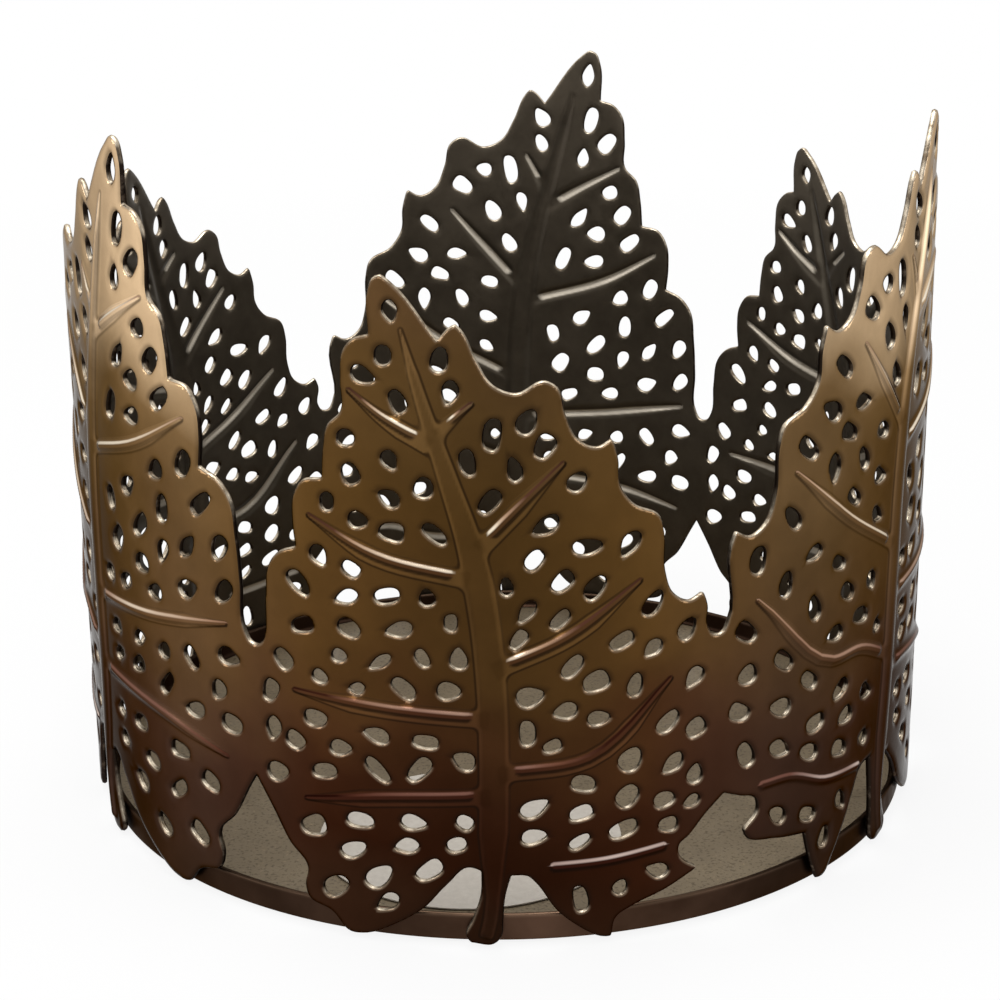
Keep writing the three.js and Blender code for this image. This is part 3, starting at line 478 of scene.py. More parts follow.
def follow(s, z, path):
    """Where grid points lie along a path: the window of the grid, the signed distance above the path, the
    length passed to the nearest point, the overrun past either end, and the path's whole length."""
    curve = smooth(path, False)
    cols = window(s, curve[:, 0].min(), curve[:, 0].max())
    rows = window(z, curve[:, 1].min(), curve[:, 1].max())
    start, step = curve[:-1, None, None, :], np.diff(curve, axis=0)[:, None, None, :]
    size = np.hypot(step[..., 0], step[..., 1])
    u = s[None, None, cols] - start[..., 0]
    v = z[None, rows, None] - start[..., 1]
    ahead = (u * step[..., 0] + v * step[..., 1]) / size
    along = np.clip(ahead, 0, size)
    distance = np.hypot(u - along * step[..., 0] / size, v - along * step[..., 1] / size)
    nearest = distance.argmin(0)[None]
    side = np.where(step[..., 0] * v - step[..., 1] * u > 0, 1.0, -1.0)
    above = np.take_along_axis(distance * side, nearest, 0)[0]
    lengths = np.concatenate([[0.0], np.cumsum(size.ravel())])
    at = np.take_along_axis(lengths[:-1, None, None] + along, nearest, 0)[0]
    before_start = np.maximum(-ahead[0], 0.0)
    past_end = np.maximum(ahead[-1] - size[-1], 0.0)
    overrun = np.where(at <= 1e-6, before_start, np.where(at >= lengths[-1] - 1e-6, past_end, 0.0))
    return (rows, cols), above, at, overrun, lengths[-1]


def evened(field):
    """A grid field with each point averaged with its neighbours."""
    for axis in (0, 1):
        field = (np.roll(field, 1, axis) + 2 * field + np.roll(field, -1, axis)) / 4
    return field


class Relief:
    """The vein network pressed into a sheet: signed distance to the border of its flat bands, above zero
    within them, the crown of the midribs, and the beads that run along the bands. For the nearest bead
    it also keeps the signed distance from the crest and the distance from the whole bead, in half widths,
    and its glow, the strength of its painted highlight, which grows from the bead's outer end to its inner
    one."""

    def __init__(self, s, z):
        shape = len(z), len(s)
        self.s, self.z = s, z
        self.border = np.full(shape, -REACH)
        self.crown, self.bead = np.zeros(shape), np.zeros(shape)
        self.bead_off, self.bead_reach = np.full(shape, REACH), np.full(shape, REACH)
        self.bead_highlight = np.zeros(shape)

    def midrib(self, path):
        """Wide rib that narrows to the leaf's tip and into the stalk, crowned across as
        1 - (distance / half width)^2."""
        here, above, at, overrun, length = follow(self.s, self.z, path)
        begun = passed(at, *MIDRIB_START)
        half = between(MIDRIB_TIP, MIDRIB_BEGUN, begun)
        half = half + (MIDRIB_FULL - MIDRIB_BEGUN) * passed(at, *MIDRIB_GROWTH)
        half = np.minimum(half, between(MIDRIB_FOOT, MIDRIB_FULL, passed(length - at, *MIDRIB_CLOSE)))
        self.add_band(here, np.minimum(half - np.abs(above), MIDRIB_OVERRUN - overrun))
        crown = np.clip(1 - (above / half) ** 2, 0, 1) * begun * rise(CROWN_OVERRUN - overrun, SOFTNESS)
        np.maximum(self.crown[here], crown, out=self.crown[here])

    def side_rib(self, path, outer_first, skirt, outer_glow, inner_glow):
        """Flat band that runs on into the midrib, with a bead along its upper border, height cos^2 across.
        Both start as a point at the outer end, and the bead stops in a round end beside the midrib. Its glow,
        the strength of its painted highlight, goes evenly from one end to the other, and rises to a painted
        glint just before the inner one."""
        inner, before = (path[-1], path[-2]) if outer_first else (path[0], path[1])
        reach = inner + (inner - before) * (BAND_REACH / np.linalg.norm(inner - before))
        path = np.concatenate([path, [reach]] if outer_first else [[reach], path])
        here, above, at, overrun, length = follow(self.s, self.z, path)
        from_tip = at if outer_first else length - at
        grown = passed(from_tip, 0, BAND_GROWTH)
        lower, upper = between(BAND_TIP, skirt, grown), between(BAND_TIP, BAND_UPPER, grown)
        inset = np.minimum(above + lower, upper - above)
        self.add_band(here, np.minimum(inset, BAND_OVERRUN - overrun))
        full = between(BEAD_TIP, 1.0, passed(from_tip, 0, BEAD_GROWTH))
        bead_length = length - BAND_REACH - BEAD_STOP
        share = passed(from_tip, 0, bead_length)
        glow = between(outer_glow, inner_glow, share) + (1 - inner_glow) * share**GLINT_POWER
        self.add_bead(
            here, above - BEAD_ABOVE * full, np.maximum(overrun, from_tip - bead_length),
            between(BEAD_TIP_HALF, BEAD_HALF, full), between(BEAD_TIP_RISE, 1.0, full), glow,
        )

    def loose_bar(self, path):
        """Short bead that joins nothing, round at both ends."""
        here, above, _, overrun, _ = follow(self.s, self.z, path)
        self.add_bead(here, above, overrun, BAR_HALF, 1.0, BAR_GLOW)

    def add_band(self, here, inset):
        """Joins a band to the network, with the corners between two bands rounded: where their insets
        differ by less than PANEL_ROUNDING, the greater one is raised by a quarter of it times the
        closeness squared."""
        close = np.clip(1 - np.abs(self.border[here] - inset) / PANEL_ROUNDING, 0, 1)
        self.border[here] = np.maximum(self.border[here], inset) + PANEL_ROUNDING / 4 * close**2

    def add_bead(self, here, off, short, half, rise_share, glow):
        """Bead about a line: off is the distance from its crest, and short the distance past its end."""
        reach = np.hypot(off, np.maximum(short, 0)) / half
        height = np.cos(np.clip(reach, 0, 1) * math.pi / 2) ** 2 * rise_share
        np.maximum(self.bead[here], height, out=self.bead[here])
        nearer = reach < self.bead_reach[here]
        for kept, value in ((self.bead_off, off / half), (self.bead_reach, reach), (self.bead_highlight, glow)):
            kept[here] = np.where(nearer, value, kept[here])

    def ground(self):
        """Height of the bands and the midribs' crowns, without the beads."""
        return evened(BAND_RISE * rise(self.border, SOFTNESS) + CROWN_RISE * self.crown)

    def height(self):
        """Bands, crowns and beads together."""
        return np.minimum(self.ground() + evened(BEAD_RISE * self.bead), RIB_TOP)

    def flank(self):
        """Slope of bands and crowns towards the painted light, seen from outside: above zero on flanks that
        face up and left near the leaf tips, or up and right below them, and below zero on those that face
        away."""
        down_z, down_s = np.gradient(-self.ground(), GRID)
        right = np.interp(self.z, FLANK_TURN, FLANK_RIGHT)
        return down_z * FLANK_UP + down_s * right[:, None]


def relief(s, z, leaves):
    """Midribs, side ribs and loose bars of the leaves of a band."""
    made = Relief(s, z)
    for leaf in leaves:
        drawing = leaf.drawing
        made.midrib(leaf.place(drawing.midrib + STALK_RIDGE))
        for path in drawing.ribs[:-1]:
            placed = leaf.place(path)
            first, last = leaf.off_midrib(path[0]), leaf.off_midrib(path[-1])
            outer_first, inner_glow = abs(first) > abs(last), drawing.inner_glow[0 if first < 0 else 1]
            if placed[0, 0] > placed[-1, 0]:
                placed, outer_first = placed[::-1], not outer_first
            made.side_rib(placed, outer_first, drawing.skirt, drawing.outer_glow, inner_glow)
        bar = leaf.place(drawing.ribs[-1])
        made.loose_bar(bar[np.argsort(bar[:, 0])])
    return made


def sample(field, s, z, points):
    """Bilinear value of a grid field at free points."""
    i = np.clip((points[:, 0] - s[0]) / GRID, 0, len(s) - 1.001)
    j = np.clip((points[:, 1] - z[0]) / GRID, 0, len(z) - 1.001)
    i0, j0 = i.astype(int), j.astype(int)
    fi, fj = i - i0, j - j0
    low = field[j0, i0] * (1 - fi) + field[j0, i0 + 1] * fi
    high = field[j0 + 1, i0] * (1 - fi) + field[j0 + 1, i0 + 1] * fi
    return low * (1 - fj) + high * fj


def fit_grid(field, s, z):
    """Moves the grid points nearest to the cut edge onto it, down the slope of the field, and says for
    each point whether it is in the metal (-1), on its edge (0) or outside (1). Also gives the way out."""
    level = field + EDGE_BULGE
    slope_z, slope_s = np.gradient(level, GRID)
    points = np.stack(np.meshgrid(s, z), -1).reshape(-1, 2)
    near = np.flatnonzero(np.abs(level.ravel()) < 0.5 * GRID)
    home, moved = points[near], points[near].copy()
    for _ in range(3):
        gs, gz = sample(slope_s, s, z, moved), sample(slope_z, s, z, moved)
        push = sample(level, s, z, moved) / np.maximum(gs**2 + gz**2, 0.2)
        moved = home + np.clip(moved - np.stack([gs, gz], 1) * push[:, None] - home, -0.7 * GRID, 0.7 * GRID)
    points[near] = moved
    kind = np.sign(level).ravel()
    kind[near] = 0
    way = np.stack([sample(slope_s, s, z, points), sample(slope_z, s, z, points)], 1)
    way /= np.maximum(np.linalg.norm(way, axis=1, keepdims=True), 1e-6)
    return points, kind, way, level


def grid_triangles(kind, level, s, z, points):
    """Triangles of the metal: two for a grid cell with four corners kept, one for a cell with three.
    A triangle with all its corners on the edge stays only if its middle is metal."""
    corner = np.arange(level.size).reshape(level.shape)
    a, b, c, d = [p.ravel() for p in (corner[:-1, :-1], corner[:-1, 1:], corner[1:, 1:], corner[1:, :-1])]
    kept = kind <= 0
    ka, kb, kc, kd = kept[a], kept[b], kept[c], kept[d]
    whole = ka & kb & kc & kd
    parts = [np.stack([a, b, c], 1)[whole], np.stack([a, c, d], 1)[whole]]
    for left_out, three in ((~ka & kb & kc & kd, (b, c, d)), (ka & ~kb & kc & kd, (a, c, d)),
                            (ka & kb & ~kc & kd, (a, b, d)), (ka & kb & kc & ~kd, (a, b, c))):
        parts.append(np.stack(three, 1)[left_out])
    triangles = np.concatenate(parts)
    all_edge = (kind[triangles] == 0).all(1)
    middle = points[triangles].mean(1)
    return triangles[~all_edge | (sample(level, s, z, middle) < 0)]


def open_edges(triangles, count):
    """Directed edges that only one triangle has."""
    edges = np.concatenate([triangles[:, [0, 1]], triangles[:, [1, 2]], triangles[:, [2, 0]]])
    forward, backward = edges[:, 0] * count + edges[:, 1], edges[:, 1] * count + edges[:, 0]
    return edges[~np.isin(forward, backward)]


def wall_triangles(edges, count):
    """Rounded wall along cut edges: outer face to middle ring, middle ring to inner face."""
    a, b = edges[:, 0], edges[:, 1]
    strips = []
    for top, foot in ((0, count), (count, 2 * count)):
        strips += [np.stack([b + top, a + top, a + foot], 1), np.stack([b + top, a + foot, b + foot], 1)]
    return np.concatenate(strips)


def corner_normals(points, triangles):
    """Unit normal at each point: the sum of its triangles' normals, larger triangles counting more."""
    p = points[triangles]
    face = np.cross(p[:, 1] - p[:, 0], p[:, 2] - p[:, 0])
    total = np.stack([
        np.bincount(triangles.ravel(), np.repeat(face[:, k], 3), len(points)) for k in range(3)
    ], 1)
    return total / np.maximum(np.linalg.norm(total, axis=1, keepdims=True), 1e-12)


def mesh_object(name, points, triangles, materials, material_of=None, normals=None, marks=None):
    """Mesh piece from arrays: points in millimetres, triangles, a material number per triangle,
    and named values per point that its materials read."""
    mesh = bpy.data.meshes.new(name)
    mesh.vertices.add(len(points))
    mesh.vertices.foreach_set("co", (points * MM).astype(np.float32).ravel())
    mesh.loops.add(len(triangles) * 3)
    mesh.loops.foreach_set("vertex_index", triangles.astype(np.int32).ravel())
    mesh.polygons.add(len(triangles))
    mesh.polygons.foreach_set("loop_start", np.arange(0, len(triangles) * 3, 3, dtype=np.int32))
    if material_of is not None:
        mesh.polygons.foreach_set("material_index", material_of.astype(np.int32))
    mesh.polygons.foreach_set("use_smooth", np.ones(len(triangles), bool))
    for key, values in (marks or {}).items():
        mesh.attributes.new(key, "FLOAT", "POINT").data.foreach_set("value", values.astype(np.float32))
    mesh.update(calc_edges=True)
    if normals is not None:
        mesh.normals_split_custom_set_from_vertices(normals)
    for material in materials:
        mesh.materials.append(material)
    piece = bpy.data.objects.new(name, mesh)
    bpy.context.scene.collection.objects.link(piece)
    return piece


def rolled(flat, radius, facing):
    """Flat points rolled onto a cylinder: s along the sheet goes to the angle facing + s / R."""
    angle = facing + flat[:, 0] / SHEET_OUTER_RADIUS
    return np.stack([radius * np.sin(angle), -radius * np.cos(angle), np.maximum(flat[:, 1], 0.0)], 1)


def band_marks(leaves, joints, veins, points):
    """Values per point that the leaf finishes read: distances to bands and beads, slope towards the painted
    light, the glow of the painted bead highlight, distance from the leaf's middle in half widths, and 0 on
    low leaves to 1 on tall ones."""
    def at_points(field):
        return sample(field, veins.s, veins.z, points)

    on_leaf = np.searchsorted(joints, points[:, 0])
    middles, halves, tall = [
        np.array(values)[on_leaf]
        for values in zip(*[(leaf.middle, leaf.half_width, leaf.tall) for leaf in leaves])
    ]
    off_middle = np.abs(points[:, 0] - middles)
    return {
        "vein_border": at_points(veins.border),
        "flank": at_points(veins.flank()),
        "bead_off": at_points(veins.bead_off),
        "bead_near": 1 - passed(at_points(veins.bead_reach), 1.0, 1.4),
        "bead_highlight": at_points(veins.bead_highlight),
        "off_middle": off_middle / halves,
        "tallness": 0.5 + np.where(tall, 0.5, -0.5) * passed(halves - off_middle, 0, JOINT_FADE),
    }


def leaf_band(leaves, spread, facing, node, materials):
    """Three leaves cut from one rolled sheet, each its own piece. The two faces lie at R_outer and R_inner
    plus the relief: ribs up, edges rounded off. The edge ring between them bulges a little into the
    opening. Materials: outer face, inner face, cut edges."""
    loop = band_outline(leaves, spread)
    margin = 4 * GRID
    s, z = [np.arange(side.min() - margin, side.max() + margin, GRID) for side in loop.T]
    field = outline_field(s, z, loop)
    for leaf in leaves:
        cut_holes(field, s, z, leaf)
    veins = relief(s, z, leaves)
    points, kind, way, level = fit_grid(field, s, z)
    triangles = grid_triangles(kind, level, s, z, points)
    count = len(points)
    free = open_edges(triangles, count)

    rib = sample(veins.height(), s, z, points)
    near_edge = np.exp(-((sample(field, s, z, points) / EDGE_WIDTH) ** 2))
    wobble = WOBBLE * np.sin(points[:, 0] / 7.1 + 1.3) * np.sin(points[:, 1] / 9.3 + 0.4)
    outer = SHEET_OUTER_RADIUS + np.minimum(rib + wobble, RIB_TOP) - EDGE_ROUNDING * near_edge
    inner = SHEET_INNER_RADIUS + INNER_RELIEF * rib + wobble + INNER_ROUNDING * EDGE_ROUNDING * near_edge
    on_edge = np.zeros(count)
    on_edge[free.ravel()] = 1.0
    ring = points + way * (EDGE_BULGE * on_edge)[:, None]
    layers = (points, outer), (ring, (outer + inner) / 2), (points, inner)
    solid = np.concatenate([rolled(flat, radius, facing) for flat, radius in layers])
    inside = triangles[:, ::-1] + 2 * count
    normals = corner_normals(solid, np.concatenate([triangles, inside, wall_triangles(free, count)]))
    joints = band_joints(leaves, spread)
    marks = {**band_marks(leaves, joints, veins, points), "cut_edge": near_edge}

    owner = np.searchsorted(joints, points[triangles][:, :, 0].mean(1))
    free_keys = free[:, 0] * count + free[:, 1]
    for index, leaf in enumerate(leaves):
        own = triangles[owner == index]
        edges = open_edges(own, count)
        cut = np.isin(edges[:, 0] * count + edges[:, 1], free_keys)
        groups = [(own, 0), (own[:, ::-1] + 2 * count, 1),
                  (wall_triangles(edges[cut], count), 2), (wall_triangles(edges[~cut], count), 1)]
        faces = np.concatenate([group for group, _ in groups])
        finish = np.concatenate([np.full(len(group), number) for group, number in groups])
        used, packed = np.unique(faces, return_inverse=True)
        piece = mesh_object(
            leaf.name, solid[used], packed.reshape(-1, 3), materials, finish, normals[used],
            {key: values[used % count] for key, values in marks.items()},
        )
        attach(piece, "root")
        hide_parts(node)


def closed_rings(rings, first, last):
    """Points and outward triangles of a stack of rings, from one pole to the other: each ring joins the
    next, and the first and last rings close on their pole. Rings run anticlockwise seen from above and
    go out along the underside, up, and back in along the top."""
    rows, segments, _ = rings.shape
    points = np.concatenate([[first], rings.reshape(-1, 3), [last]])
    here = np.arange(segments)
    after = (here + 1) % segments
    base = 1 + np.arange(rows - 1)[:, None] * segments
    a, b = (base + here).ravel(), (base + after).ravel()
    c, d = b + segments, a + segments
    top = 1 + (rows - 1) * segments
    triangles = np.concatenate([
        np.stack([np.zeros(segments, int), 1 + after, 1 + here], 1),
        np.stack([a, b, c], 1),
        np.stack([a, c, d], 1),
        np.stack([top + here, top + after, np.full(segments, len(points) - 1)], 1),
    ])
    return points, triangles


def arc(centre, radius, first, last, steps):
    """Points of a circular arc in the (radius, height) plane, angles in degrees from straight out."""
    angle = np.radians(np.linspace(first, last, steps))
    return np.stack([centre[0] + radius * np.cos(angle), centre[1] + radius * np.sin(angle)], 1)


def full_turn(segments):
    """Angles of a whole turn in even steps."""
    return np.arange(segments) * 2 * math.pi / segments


def base_pan(floor_finish, rim_finish):
    """Shallow tray: a profile turned about Z. Flat underside, rounded bend, upright rim with a rolled
    lip, inner bend and a floor that is flat to the centre."""
    bend_centre = (PAN_RADIUS - RIM_BEND, RIM_BEND)
    inner_centre = (PAN_RADIUS - PAN_WALL - RIM_BEND, PAN_WALL + RIM_BEND)
    lip = PAN_WALL / 2
    flat_rings = (18.0, 36.0, 48.0)
    profile = np.concatenate([
        [[radius, 0.0] for radius in flat_rings],
        arc(bend_centre, RIM_BEND, -90, 0, 9),
        arc((PAN_RADIUS - lip, RIM_HEIGHT - lip), lip, 0, 180, 9),
        arc(inner_centre, RIM_BEND, 0, -90, 7),
        [[radius, PAN_WALL] for radius in flat_rings[::-1]],
    ])
    angle = full_turn(240)
    out, up = profile[:, :1], profile[:, 1:]
    rings = np.stack([out * np.cos(angle), out * np.sin(angle), np.repeat(up, len(angle), 1)], -1)
    points, triangles = closed_rings(rings, (0, 0, 0), (0, 0, PAN_WALL))
    corners = points[triangles]
    above = corners[:, :, 2].min(1) > 0.5 * PAN_WALL
    within = np.hypot(corners[:, :, 0], corners[:, :, 1]).max(1) < inner_centre[0] + 0.1
    piece = mesh_object("pan", points, triangles, [floor_finish, rim_finish], np.where(above & within, 0, 1))
    mark_sharp(piece)
    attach(piece, "root")
    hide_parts("base_pan")


def mark_sharp(piece, degrees=40.0):
    """Keeps edges crisp where two faces meet at more than the given angle."""
    piece.data.set_sharp_from_angle(angle=math.radians(degrees))


def floor_label(finish):
    """Blank paper disc: rings from centre to edge below and back above, a little lifted towards one side
    of its edge, height = glue + lift (r/R)^8 (0.6 + 0.4 cos(angle - a)), with a faint cockle."""
    angle = full_turn(96)
    share = np.array([0.25, 0.5, 0.7, 0.85, 0.94, 1.0])[:, None]
    lift = 0.22 * share**8 * (0.6 + 0.4 * np.cos(angle - 2.4))
    cockle = 0.02 * share**2 * (1 + np.sin(3 * angle + 5 * share))
    base = PAN_WALL + LABEL_GLUE
    x = LABEL_CENTRE[0] + LABEL_RADIUS * share * np.cos(angle)
    y = LABEL_CENTRE[1] + LABEL_RADIUS * share * np.sin(angle)
    under = np.stack([x, y, base + lift + cockle], -1)
    over = (under + [0.0, 0.0, LABEL_THICKNESS])[::-1]
    points, triangles = closed_rings(
        np.concatenate([under, over]), (*LABEL_CENTRE, base), (*LABEL_CENTRE, base + LABEL_THICKNESS)
    )
    piece = mesh_object("label", points, triangles, [finish])
    mark_sharp(piece)
    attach(piece, "root")
    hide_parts("floor_label")


# Lacquer colours at heights in millimetres on low and tall leaves, their own colour darkened towards the foot
# by painted reflection of the shaded floor beside the pan, then the painted highlights of bead crests, and
# the colours of bead sides
TOP_MM = 92.0
LOW_TONES = [
    (2, (0.024, 0.0095, 0.0045)), (12, (0.023, 0.0068, 0.0027)), (20, (0.031, 0.0104, 0.0043)),
    (28, (0.052, 0.0212, 0.0076)), (36, (0.071, 0.034, 0.0098)), (50, (0.080, 0.040, 0.0108)),
    (66, (0.098, 0.052, 0.0165)), (78, (0.105, 0.056, 0.022)),
]
TALL_TONES = [
    (2, (0.028, 0.0145, 0.009)), (12, (0.031, 0.0150, 0.0095)), (20, (0.040, 0.0190, 0.0115)),
    (28, (0.056, 0.0285, 0.0150)), (36, (0.072, 0.038, 0.0165)), (50, (0.092, 0.051, 0.020)),
    (60, (0.140, 0.082, 0.034)), (70, (0.42, 0.29, 0.165)), (84, (0.51, 0.36, 0.215)),
]
CREST_HIGHLIGHT_TONES = [
    (12.5, (0.85, 0.70, 0.62)), (16, (0.15, 0.065, 0.047)), (26, (0.22, 0.11, 0.08)),
    (34, (0.48, 0.32, 0.23)), (44, (0.94, 0.81, 0.63)), (84, (0.95, 0.85, 0.69)),
]
BEAD_TONES = [
    (16, (0.034, 0.0085, 0.0055)), (34, (0.052, 0.016, 0.009)), (50, (0.060, 0.026, 0.012)),
    (62, (0.075, 0.038, 0.018)), (80, (0.30, 0.20, 0.12)),
]
# Tint of a bead's painted crest highlight from no glow to full glow
GLOW_TINTS = [
    (0.0, (0.06, 0.026, 0.02)), (0.2, (0.10, 0.046, 0.036)), (0.34, (0.5, 0.36, 0.29)),
    (0.6, (0.9, 0.84, 0.8)), (0.8, (1.0, 1.0, 1.0)),
]
# Painted reflection as shares of brightness round the ring, at angles in degrees from the front leaf, to the
# right
RING_REFLECTION_SHARES = [
    (-120, 1.0), (-62, 1.06), (-45, 1.34), (-22, 1.12), (-7, 1.0), (6, 0.84), (16, 0.94), (27, 1.0),
    (40, 0.82), (48, 0.98), (56, 1.24), (75, 1.0),
]
# Painted reflection round the pan's rim, as shares of brightness at angles from the front leaf
RIM_REFLECTION_SHARES = [
    (-120, 1.0), (-45, 0.8), (-25, 0.95), (-5, 1.5), (8, 2.1), (20, 1.7), (40, 0.6), (90, 0.7), (150, 1.0)
]
# How much brighter lacquer under a painted highlight is, the painted highlight on up-facing lips, painted
# shade on veins and lips and below beads, and a noise's middle span
HIGHLIGHT_GAIN = (3.1, 3.3, 3.8)
LIP_HIGHLIGHT = (0.30, 0.22, 0.15)
PAINTED_SHADE, BEAD_SHADE = (0.010, 0.0055, 0.0035), (0.008, 0.004, 0.0025)
NOISE_SPAN = 0.3, 0.7


class Finish:
    """A procedural material: a Principled shader and the nodes that feed it, on Object coordinates."""

    def __init__(self, name, **sockets):
        self.material = bpy.data.materials.new(name)
        self.material.use_nodes = True
        self.tree = self.material.node_tree
        self.shader = self.tree.nodes["Principled BSDF"]
        for key, value in sockets.items():
            self.shader.inputs[key.replace("_", " ")].default_value = value
        self.place = self.node("ShaderNodeTexCoord").outputs["Object"]

    def node(self, kind, **settings):
        made = self.tree.nodes.new(kind)
        for key, value in settings.items():
            setattr(made, key, value)
        return made

    def link(self, output, socket):
        self.tree.links.new(output, socket)

    def feed(self, value, socket):
        """Gives a socket a number, a colour or an output."""
        if isinstance(value, (int, float)):
            socket.default_value = value
        elif isinstance(value, tuple):
            socket.default_value = (*value, 1.0)
        else:
            self.link(value, socket)

    def math(self, operation, first, second=0.0):
        made = self.node("ShaderNodeMath", operation=operation)
        self.feed(first, made.inputs[0])
        self.feed(second, made.inputs[1])
        return made.outputs[0]

    def times(self, first, second):
        return self.math("MULTIPLY", first, second)

    def span(self, value, low, high, to_low, to_high):
        """The value carried from the span low to high onto another span, and kept within it."""
        made = self.node("ShaderNodeMapRange")
        for amount, socket in zip((value, low, high, to_low, to_high), made.inputs):
            self.feed(amount, socket)
        return made.outputs[0]

    def strip(self, value, low, rising, falling, high):
        """0 below low and above high, 1 between rising and falling, and a straight slope between."""
        return self.times(self.span(value, low, rising, 0.0, 1.0), self.span(value, falling, high, 1.0, 0.0))

    def noise(self, scale, detail, rough=0.5):
        made = self.node("ShaderNodeTexNoise")
        settings = {"Vector": self.place, "Scale": scale, "Detail": detail, "Roughness": rough}
        for key, value in settings.items():
            self.feed(value, made.inputs[key])
        return made.outputs["Fac"]

    def uneven(self, scale, detail, low, high):
        """Noise whose middle span goes from low to high."""
        return self.span(self.noise(scale, detail), *NOISE_SPAN, low, high)

    def attribute(self, name):
        return self.node("ShaderNodeAttribute", attribute_name=name).outputs["Fac"]

    def part(self, vector, axis):
        split = self.node("ShaderNodeSeparateXYZ")
        self.link(vector, split.inputs[0])
        return split.outputs[axis]

    def facing_up(self):
        """Upward part of the surface's normal."""
        return self.part(self.node("ShaderNodeTexCoord").outputs["Normal"], "Z")

    def ramp(self, value, stops):
        made = self.node("ShaderNodeValToRGB")
        elements = made.color_ramp.elements
        while len(elements) < len(stops):
            elements.new(0.5)
        for element, (position, colour) in zip(elements, stops):
            element.position = position
            element.color = (*colour, 1.0)
        self.link(value, made.inputs[0])
        return made.outputs["Color"]

    def clouded(self, dark, pale, scale, detail, rough=0.5):
        """Colour that drifts between two tones with a noise."""
        return self.ramp(self.noise(scale, detail, rough), list(zip(NOISE_SPAN, (dark, pale))))

    def by_height(self, height, tones):
        """Colours set at heights in millimetres, on a height that runs from 0 at the foot to 1 at the top."""
        return self.ramp(height, [(z / TOP_MM, colour) for z, colour in tones])

    def by_turn(self, shares):
        """Greys set round the ring, at angles in degrees from the front leaf, to the right."""
        forward = self.times(self.part(self.place, "Y"), -1.0)
        turn = self.math("DEGREES", self.math("ARCTAN2", self.part(self.place, "X"), forward))
        stops = [(0.5 + angle / 360, (share, share, share)) for angle, share in shares]
        return self.ramp(self.span(turn, -180.0, 180.0, 0.0, 1.0), stops)

    def grey(self, value):
        """A number as a grey colour."""
        made = self.node("ShaderNodeCombineColor")
        for socket in made.inputs:
            self.link(value, socket)
        return made.outputs[0]

    def blend(self, share, first, second, mode="MIX"):
        """Colour mix; each colour is a triple or an output."""
        made = self.node("ShaderNodeMix", data_type="RGBA", blend_type=mode)
        for key, value in (("Factor", share), ("A", first), ("B", second)):
            self.feed(value, made.inputs[key])
        return made.outputs["Result"]

    def tinted(self, first, second):
        return self.blend(1.0, first, second, "MULTIPLY")

    def colour(self, output):
        self.link(output, self.shader.inputs["Base Color"])

    def roughness(self, scale, detail, low, high):
        self.link(self.uneven(scale, detail, low, high), self.shader.inputs["Roughness"])

    def grain(self, scale, detail, depth, strength):
        """Fine noise as bump, its depth in metres."""
        made = self.node("ShaderNodeBump")
        made.inputs["Strength"].default_value = strength
        made.inputs["Distance"].default_value = depth
        self.link(self.noise(scale, detail), made.inputs["Height"])
        self.link(made.outputs[0], self.shader.inputs["Normal"])


def lacquer_ground(finish, height, tallness):
    """Lacquer of the flat sheet: tones by height for low and tall leaves, darkened towards the foot by
    painted reflection, brighter and darker round the ring by painted reflection, lighter to the sides of a
    leaf, and faintly clouded."""
    low, tall = finish.by_height(height, LOW_TONES), finish.by_height(height, TALL_TONES)
    # Painted reflection: the tones grow brighter and darker round the ring
    toned = finish.tinted(finish.blend(tallness, low, tall), finish.by_turn(RING_REFLECTION_SHARES))
    cloud = finish.span(finish.noise(130.0, 4.0, 0.6), 0.25, 0.75, 0.84, 1.16)
    sides = finish.span(finish.attribute("off_middle"), 0.1, 0.8, 0.88, 1.28)
    return finish.tinted(toned, finish.grey(finish.times(cloud, sides)))


def lacquer_on_veins(finish, ground, soft):
    """Painted light and shade on the veins: flanks of bands and crowns that face a fixed light get a painted
    highlight and those that face away painted shade. The bands' borders get a faint painted highlight, and a
    painted shade line runs round the bands that is fainter on flanks facing the light."""
    flank, border = finish.attribute("flank"), finish.attribute("vein_border")
    # Faint painted highlight along the inside of the bands' borders
    border_highlight = finish.times(finish.strip(border, -0.02, 0.12, 0.22, 0.45), 0.3)
    light = finish.math("MAXIMUM", finish.span(flank, 0.12, 0.42, 0.0, 0.9), border_highlight)
    depth = finish.times(finish.span(flank, 0.0, 0.2, 0.66, 0.35), soft)
    # Painted shade in a line just outside the bands' borders
    crease_shade = finish.times(finish.strip(border, -0.3, -0.16, -0.06, 0.06), depth)
    shade = finish.math("MAXIMUM", finish.span(flank, -0.1, -0.4, 0.0, 0.6), crease_shade)
    return finish.blend(shade, finish.blend(light, ground, finish.tinted(ground, HIGHLIGHT_GAIN)), PAINTED_SHADE)


def lacquer_on_beads(finish, ground, height, tallness, soft):
    """Beads are reddish along their sides, with painted shade below. Their crests carry a painted highlight,
    brighter high up, that goes from dark at a bead's outer end to bright at its inner one."""
    bead, near, glow = [finish.attribute(name) for name in ("bead_off", "bead_near", "bead_highlight")]
    body = finish.times(finish.strip(bead, -0.7, -0.3, 0.7, 1.0), near)
    # Painted shade below the bead
    under = finish.times(finish.strip(bead, -1.5, -1.0, -0.5, -0.2), near)
    # Painted highlight along the bead's crest, its strength set by the glow
    crest = finish.times(finish.strip(bead, 0.2, 0.45, 0.66, 0.88), near)
    reddened = finish.times(body, finish.span(tallness, 0.5, 1.0, 0.65, 0.3))
    red = finish.blend(reddened, ground, finish.by_height(height, BEAD_TONES))
    shaded = finish.blend(finish.times(under, finish.times(soft, 0.8)), red, BEAD_SHADE)
    crest_highlight_tone = finish.tinted(finish.by_height(height, CREST_HIGHLIGHT_TONES), finish.ramp(glow, GLOW_TINTS))
    return finish.blend(finish.times(crest, 0.95), shaded, crest_highlight_tone)


